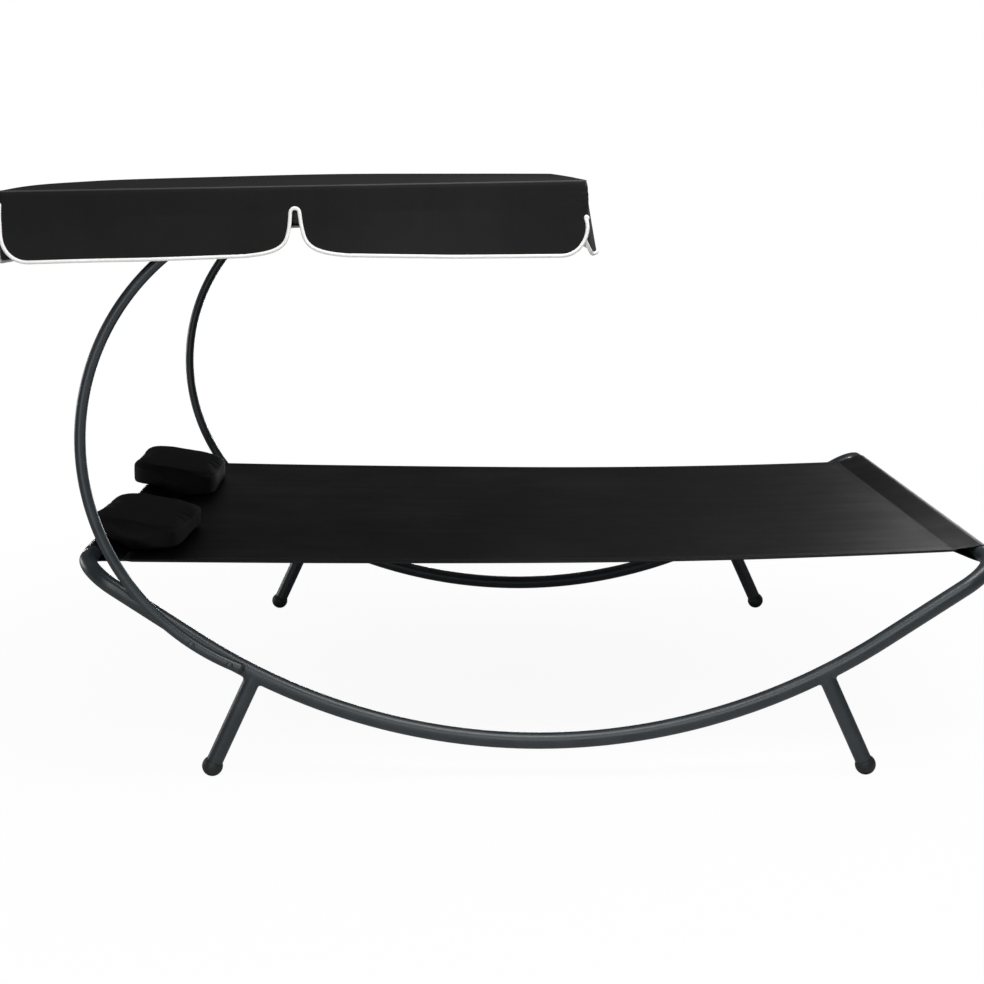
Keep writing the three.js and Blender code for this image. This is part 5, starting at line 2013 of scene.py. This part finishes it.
def lay_down(pillow, side):
    """The top stays straight from the bar to the toe; the underside sags on to what is below it."""
    middle_y = SLING_WIDTH / 2 - PILLOW_EDGE - PILLOW_LENGTH / 2
    shift = PILLOW_SHIFTS[side]
    shape = PILLOW_SHAPES[side]
    turn = Matrix.Rotation(PILLOW_TURNS[side], 4, "Z")
    for vert in pillow.data.vertices:
        vert.co = turn @ (vert.co * shape)
        reach = PILLOW_MIDDLE_REACH - vert.co.x - shift.x
        height = vert.co.z + PILLOW_WALL / 2
        height = FLATTENED * (PILLOW_UNDERSIDE + min(height, 0)) + max(height, 0)
        straight = bar_top_z + lean_slope * (reach - END_BAR_REACH)
        stiff = min(max(height / PILLOW_WALL, 0), 1)
        vert.co.x = bed_x - reach
        vert.co.y += SIDES[side] * middle_y + shift.y
        vert.co.z = stiff * straight + (1 - stiff) * resting_height(reach) + FIT_GAP + height
    return pillow


filled_case = make_pillow()
far_case = copy_of(filled_case, "far_pillow_case", ACROSS)
for pillow, side in ((filled_case, "near"), (far_case, "far")):
    lay_down(pillow, side)
    finish_piece(pillow, pillow_cloth, "pillow_fabric", f"{side}_pillow", f"{side}_pillow")


# %% [markdown]
# ## Bolts and plugs
#
# Small turned parts close the arcs and hold the frame together. A cylinder with a ball on it would stand in
# for each at a distance. But close by, the dome, the washer face and the shank are what is seen, so each is
# drawn for the near side as rings on its own axis, and mirrored to the far side.

# %% Where the fasteners sit
ARC_BOLT_REACHES = {"upper": 310 * MM, "lower": 225 * MM}
ARC_BOLT_HEAD = 8.5 * MM
ARC_BOLT_SHANK = 4 * MM
ARC_HEAD_HEIGHT = 5 * MM
NUT_BORE_DEPTH = 9.5 * MM
HEAD_RIM_SHARE = 0.3
BOLT_SIDES = 32


def arc_bolt_place(name, y):
    x = arc_centre.x - ARC_BOLT_REACHES[name]
    drop = math.sqrt(ARC_RADIUS ** 2 - ARC_BOLT_REACHES[name] ** 2)
    return Vector((x, y, arc_centre.z - drop))


def dome(radius, height, steps, start):
    """Rings of a round top, the last one a point."""
    rings = []
    for step in range(steps):
        angle = math.pi / 2 * step / steps
        rings.append((radius * math.cos(angle), start + height * math.sin(angle)))
    return rings + [(0, start + height)]


def both_sides(piece, material, slot, body, node):
    """Finishes the near piece and its mirror image; body and node may hold a {side} field."""
    for side in SIDES:
        twin = piece if side == "near" else copy_of(piece, piece.name.replace("near", "far"), ACROSS)
        finish_piece(twin, material, slot, body.format(side=side), node.format(side=side))


# %% Arc bolts
TIP_CHAMFER = 0.5 * MM
EDGE_CHAMFER = 0.4 * MM


def make_arc_bolt(name):
    start = arc_bolt_place(name, -(rail_y + RAIL_RADIUS + 2 * ARC_TUBE_RADIUS + FIT_GAP))
    through = 2 * RAIL_RADIUS + 2 * ARC_TUBE_RADIUS + 2 * FIT_GAP + NUT_BORE_DEPTH - FIT_GAP
    rim = ARC_HEAD_HEIGHT * HEAD_RIM_SHARE
    shank, head = ARC_BOLT_SHANK, ARC_BOLT_HEAD
    profile = [
        (shank - TIP_CHAMFER, -through), (shank, -through + TIP_CHAMFER), (shank, FIT_GAP),
        (head - EDGE_CHAMFER, FIT_GAP), (head, FIT_GAP + EDGE_CHAMFER), (head, FIT_GAP + rim),
    ]
    crown = dome(head, ARC_HEAD_HEIGHT - rim, steps=7, start=FIT_GAP + rim)[1:]
    bolt = turned(f"near_arc_{name}_bolt_steel", start, outward, profile + crown, BOLT_SIDES)
    both_sides(bolt, coated_steel, "coated_steel", "frame", "{side}_arc_" + name + "_bolt")


for name in ARC_BOLT_REACHES:
    make_arc_bolt(name)


# %% Plugs in the arcs' ends
PLUG_FLANGE = 2.5 * MM
PLUG_DOME = 7 * MM
PLUG_DEPTH = 14 * MM
PLUG_BORE_RADIUS = 10 * MM
PLUG_CHAMFER = 1 * MM
PLUG_SIDES = 36


def make_lower_plug():
    turn = math.acos(-ARC_LOWER_REACH / ARC_RADIUS)
    place = arc_centre + Vector((math.cos(turn), 0, -math.sin(turn))) * ARC_RADIUS
    direction = Vector((math.sin(turn), 0, math.cos(turn)))
    radius = ARC_TUBE_RADIUS
    profile = [
        (PLUG_BORE_RADIUS - PLUG_CHAMFER, -PLUG_DEPTH), (PLUG_BORE_RADIUS, -PLUG_DEPTH + PLUG_CHAMFER),
        (PLUG_BORE_RADIUS, FIT_GAP), (radius - EDGE_CHAMFER, FIT_GAP), (radius, FIT_GAP + EDGE_CHAMFER),
        (radius, FIT_GAP + PLUG_FLANGE),
    ]
    crown = dome(radius, PLUG_DOME, steps=9, start=FIT_GAP + PLUG_FLANGE)[1:]
    plug = turned("near_arc_lower_plug_cap", place, direction, profile + crown, PLUG_SIDES)
    both_sides(plug, black_plastic, "black_plastic", "frame", "{side}_arc_lower_plug")


def make_upper_plug():
    place = Vector((pivot.x + ARC_BEYOND_PIVOT, arc_y, pivot.z))
    shares = [(1, 0), (1, 0.5), (0.95, 0.85), (0.85, 1), (0, 1)]
    profile = [(ARC_TUBE_RADIUS * out, FIT_GAP + PLUG_FLANGE * up) for out, up in shares]
    plug = turned("near_arc_upper_plug_cap", place, Vector((1, 0, 0)), profile, PLUG_SIDES)
    both_sides(plug, knob_plastic, "black_plastic", "frame", "{side}_arc_upper_plug")


make_lower_plug()
make_upper_plug()


# %% [markdown]
# ## Cap nuts
#
# A cap nut closes the inner end of each of the arcs' bolts. A hexagonal prism could be bevelled, but a
# bevel rounds its six upright edges too. So it is turned like the bolts, with rings of only six corners and
# the chamfer as one more ring, and its dome is a second turned piece that is joined to it.

# %% Cap nuts, with a chamfered hexagon and a dome
NUT_ACROSS = 7.8 * MM
NUT_FACE_SHARE = 0.93
NUT_TOP_SHARE = 0.9
NUT_SHOULDER = 6.5 * MM
NUT_HEIGHT = 12 * MM
NUT_DOME_RADIUS = 6.2 * MM
NUT_BOTTOM_CHAMFER = 0.5 * MM
NUT_TOP_CHAMFER = 0.6 * MM
NUT_COLLAR = 1 * MM


def make_cap_nut(name):
    start = arc_bolt_place(name, -(rail_y - RAIL_RADIUS))
    bore = ARC_BOLT_SHANK + FIT_GAP
    profile = [
        (bore, NUT_BORE_DEPTH), (bore, FIT_GAP), (NUT_ACROSS * NUT_FACE_SHARE, FIT_GAP),
        (NUT_ACROSS, FIT_GAP + NUT_BOTTOM_CHAMFER), (NUT_ACROSS, NUT_SHOULDER),
        (NUT_ACROSS * NUT_TOP_SHARE, NUT_SHOULDER + NUT_TOP_CHAMFER),
    ]
    hexagon = turned(f"near_arc_{name}_nut_steel", start, inward, profile, 6)
    collar = NUT_SHOULDER + NUT_COLLAR
    rings = [(NUT_DOME_RADIUS, NUT_SHOULDER)]
    rings += dome(NUT_DOME_RADIUS, NUT_HEIGHT - collar, steps=8, start=collar)
    crown = turned("nut_dome", start, inward, rings, BOLT_SIDES)
    nut = join_pieces(f"near_arc_{name}_nut_steel", [hexagon, crown])
    smooth(nut, TURNED_SMOOTHING)
    both_sides(nut, zinc_steel, "zinc_steel", "frame", "{side}_arc_" + name + "_nut")


for name in ARC_BOLT_REACHES:
    make_cap_nut(name)


# %% [markdown]
# ## Joint screws
#
# A screw from below holds each joint of rail and end bar. A cross could be cut into its raised head with a
# Boolean, but on a head of 10 mm a small round hollow looks the same and stays a clean ring.

# %% Screws under the rail joints
SCREW_INSET = 15 * MM
SCREW_HEAD = 5 * MM
SCREW_HEAD_HEIGHT = 3 * MM
SCREW_SHANK = 2.5 * MM
SCREW_DEPTH = 6 * MM
HOLLOW_RADIUS = 1.2 * MM
HOLLOW_DEPTH = 1.2 * MM
HOLLOW_FLOOR_SHARE = 0.7
SCREW_SIDES = 24


def make_joint_screw(end_name, end):
    reach = bed_x + end * END_BAR_REACH
    place = Vector((reach, -(rail_joint_y + SCREW_INSET), end_bar_z - RAIL_RADIUS))
    profile = [(SCREW_SHANK, -SCREW_DEPTH), (SCREW_SHANK, FIT_GAP)]
    profile += dome(SCREW_HEAD, SCREW_HEAD_HEIGHT, steps=6, start=FIT_GAP)[:-1]
    profile.append((HOLLOW_RADIUS, FIT_GAP + SCREW_HEAD_HEIGHT))
    profile.append((HOLLOW_RADIUS * HOLLOW_FLOOR_SHARE, SCREW_HEAD_HEIGHT - HOLLOW_DEPTH))
    screw = turned(f"near_{end_name}_joint_screw_steel", place, Vector((0, 0, -1)), profile, SCREW_SIDES)
    both_sides(screw, zinc_steel, "zinc_steel", "frame", "{side}_" + end_name + "_joint_screw")


for end_name, end in ENDS.items():
    make_joint_screw(end_name, end)


# %% [markdown]
# ## Brackets
#
# A bracket under each of the canopy's rails takes the pivot bolt. It is a plate with a round lower end and
# a flange on top. A box and a disc could be joined for the plate, but would leave an edge across it, so it
# is a disc whose upper half is stretched up flat and then given its thickness.

# %% Brackets
BRACKET_HALF = 22 * MM
BRACKET_WALL = 3 * MM
BRACKET_EDGE = 0.6 * MM
BRACKET_SIDES = 64
BRACKET_EDGE_STEPS = 3
ABOVE_PIVOT = 0.01 * MM


def make_bracket():
    top = canopy_tube_z - CANOPY_TUBE_RADIUS - FIT_GAP
    nothing_selected()
    start = Vector((pivot.x, -bracket_y, pivot.z))
    bpy.ops.mesh.primitive_circle_add(
        vertices=BRACKET_SIDES, radius=BRACKET_HALF, fill_type="NGON", location=start,
        rotation=(math.pi / 2, 0, 0))
    plate = take("near_pivot_bracket_plate")
    for vert in plate.data.vertices:
        if vert.co.z > pivot.z + ABOVE_PIVOT:
            vert.co.z = top - BRACKET_WALL / 2
    edit(plate, "FACE")
    bpy.ops.mesh.select_all(action="SELECT")
    bpy.ops.mesh.extrude_region_move(TRANSFORM_OT_translate={"value": (0, -BRACKET_WALL, 0)})
    object_mode()
    faces_outward(plate)
    reach = canopy_tube_y + CANOPY_TUBE_RADIUS - bracket_y
    nothing_selected()
    middle = (pivot.x, -(bracket_y + reach / 2), top - BRACKET_WALL / 2)
    bpy.ops.mesh.primitive_cube_add(size=1, location=middle, scale=(2 * BRACKET_HALF, reach, BRACKET_WALL))
    flange = take("flange")
    for part in (plate, flange):
        edge = part.modifiers.new("edge", "BEVEL")
        edge.width = BRACKET_EDGE
        edge.segments = BRACKET_EDGE_STEPS
        edge.limit_method = "ANGLE"
        apply_modifiers(part)
    bracket = join_pieces("near_pivot_bracket_plate", [plate, flange])
    smooth(bracket, TURNED_SMOOTHING)
    put(bracket, REST_TURN)
    both_sides(bracket, coated_steel, "coated_steel", "canopy", "{side}_pivot_bracket")


make_bracket()


# %% [markdown]
# ## Pivot bolts
#
# A bolt goes through each arc's upper end and the bracket, and carries the canopy. Only its head shows, on
# the inside, but the shank crosses the small gaps between the parts, so the whole bolt is turned.

# %% Pivot bolts
PIVOT_BOLT_HEAD = 9 * MM
PIVOT_BOLT_SHANK = 4 * MM
PIVOT_HEAD_HEIGHT = 5 * MM
KNOB_BORE_DEPTH = 13 * MM


def make_pivot_bolt():
    start = Vector((pivot.x, arc_y + ARC_TUBE_RADIUS, pivot.z))
    through = 2 * ARC_TUBE_RADIUS + 2 * FIT_GAP + BRACKET_WALL + KNOB_BORE_DEPTH - FIT_GAP
    rim = PIVOT_HEAD_HEIGHT * HEAD_RIM_SHARE
    profile = [
        (PIVOT_BOLT_SHANK, -through), (PIVOT_BOLT_SHANK, FIT_GAP), (PIVOT_BOLT_HEAD, FIT_GAP),
        (PIVOT_BOLT_HEAD, FIT_GAP + rim),
    ]
    crown = dome(PIVOT_BOLT_HEAD, PIVOT_HEAD_HEIGHT - rim, steps=7, start=FIT_GAP + rim)[1:]
    bolt = turned("near_pivot_bolt_steel", start, inward, profile + crown, BOLT_SIDES)
    both_sides(bolt, zinc_steel, "zinc_steel", "frame", "{side}_pivot_bolt")


make_pivot_bolt()


# %% [markdown]
# ## Clamp knobs
#
# A star knob on each pivot bolt clamps the tilt. Six rods could be joined to a hub, but they would meet in
# sharp corners. So the knob is turned round, and its hollows are pressed in afterwards, which leaves six
# soft lobes.

# %% Clamp knobs
KNOB_RADIUS = 23 * MM
KNOB_LOBES = 6
LOBE_DEPTH = 3 * MM
KNOB_THICKNESS = 15 * MM
KNOB_HUB_RADIUS = 11 * MM
KNOB_HUB_HEIGHT = 5 * MM
KNOB_EDGE = 3 * MM
KNOB_EDGE_STEPS = 5
KNOB_SIDES = 96
KNOB_SMOOTHING = 40
HUB_CHAMFER = 1 * MM
HUB_RISE = 0.5 * MM


def make_knob():
    seat = bracket_y + BRACKET_WALL + FIT_GAP
    start = Vector((pivot.x, -seat, pivot.z))
    top = KNOB_HUB_HEIGHT + KNOB_THICKNESS
    hub = KNOB_HUB_RADIUS
    body = [
        (hub - HUB_CHAMFER, 0), (hub, HUB_RISE), (hub, KNOB_HUB_HEIGHT),
        (KNOB_RADIUS - KNOB_EDGE, KNOB_HUB_HEIGHT),
    ]
    for step in range(1, KNOB_EDGE_STEPS + 1):
        angle = math.pi / 2 * step / KNOB_EDGE_STEPS
        height = KNOB_HUB_HEIGHT + KNOB_EDGE * (1 - math.cos(angle))
        body.append((KNOB_RADIUS - KNOB_EDGE * (1 - math.sin(angle)), height))
    for step in range(KNOB_EDGE_STEPS + 1):
        angle = math.pi / 2 * step / KNOB_EDGE_STEPS
        height = top - KNOB_EDGE * (1 - math.sin(angle))
        body.append((KNOB_RADIUS - KNOB_EDGE * (1 - math.cos(angle)), height))
    body += [(hub + HUB_CHAMFER, top), (hub, top - HUB_CHAMFER), (0, top - HUB_CHAMFER)]
    knob = turned("near_pivot_knob_grip", start, outward, body, KNOB_SIDES)
    flat_end = hub + HUB_CHAMFER
    for vert in knob.data.vertices:
        arm = Vector((vert.co.x - pivot.x, 0, vert.co.z - pivot.z))
        share = min(max((arm.length - flat_end) / (KNOB_RADIUS - flat_end), 0), 1)
        lobe = (1 - math.cos(KNOB_LOBES * math.atan2(arm.z, arm.x))) / 2
        pulled = arm * (1 - share * LOBE_DEPTH * lobe / KNOB_RADIUS)
        vert.co.x = pivot.x + pulled.x
        vert.co.z = pivot.z + pulled.z
    smooth(knob, KNOB_SMOOTHING)
    both_sides(knob, knob_plastic, "black_plastic", "{side}_pivot_knob", "{side}_pivot_knob")


make_knob()
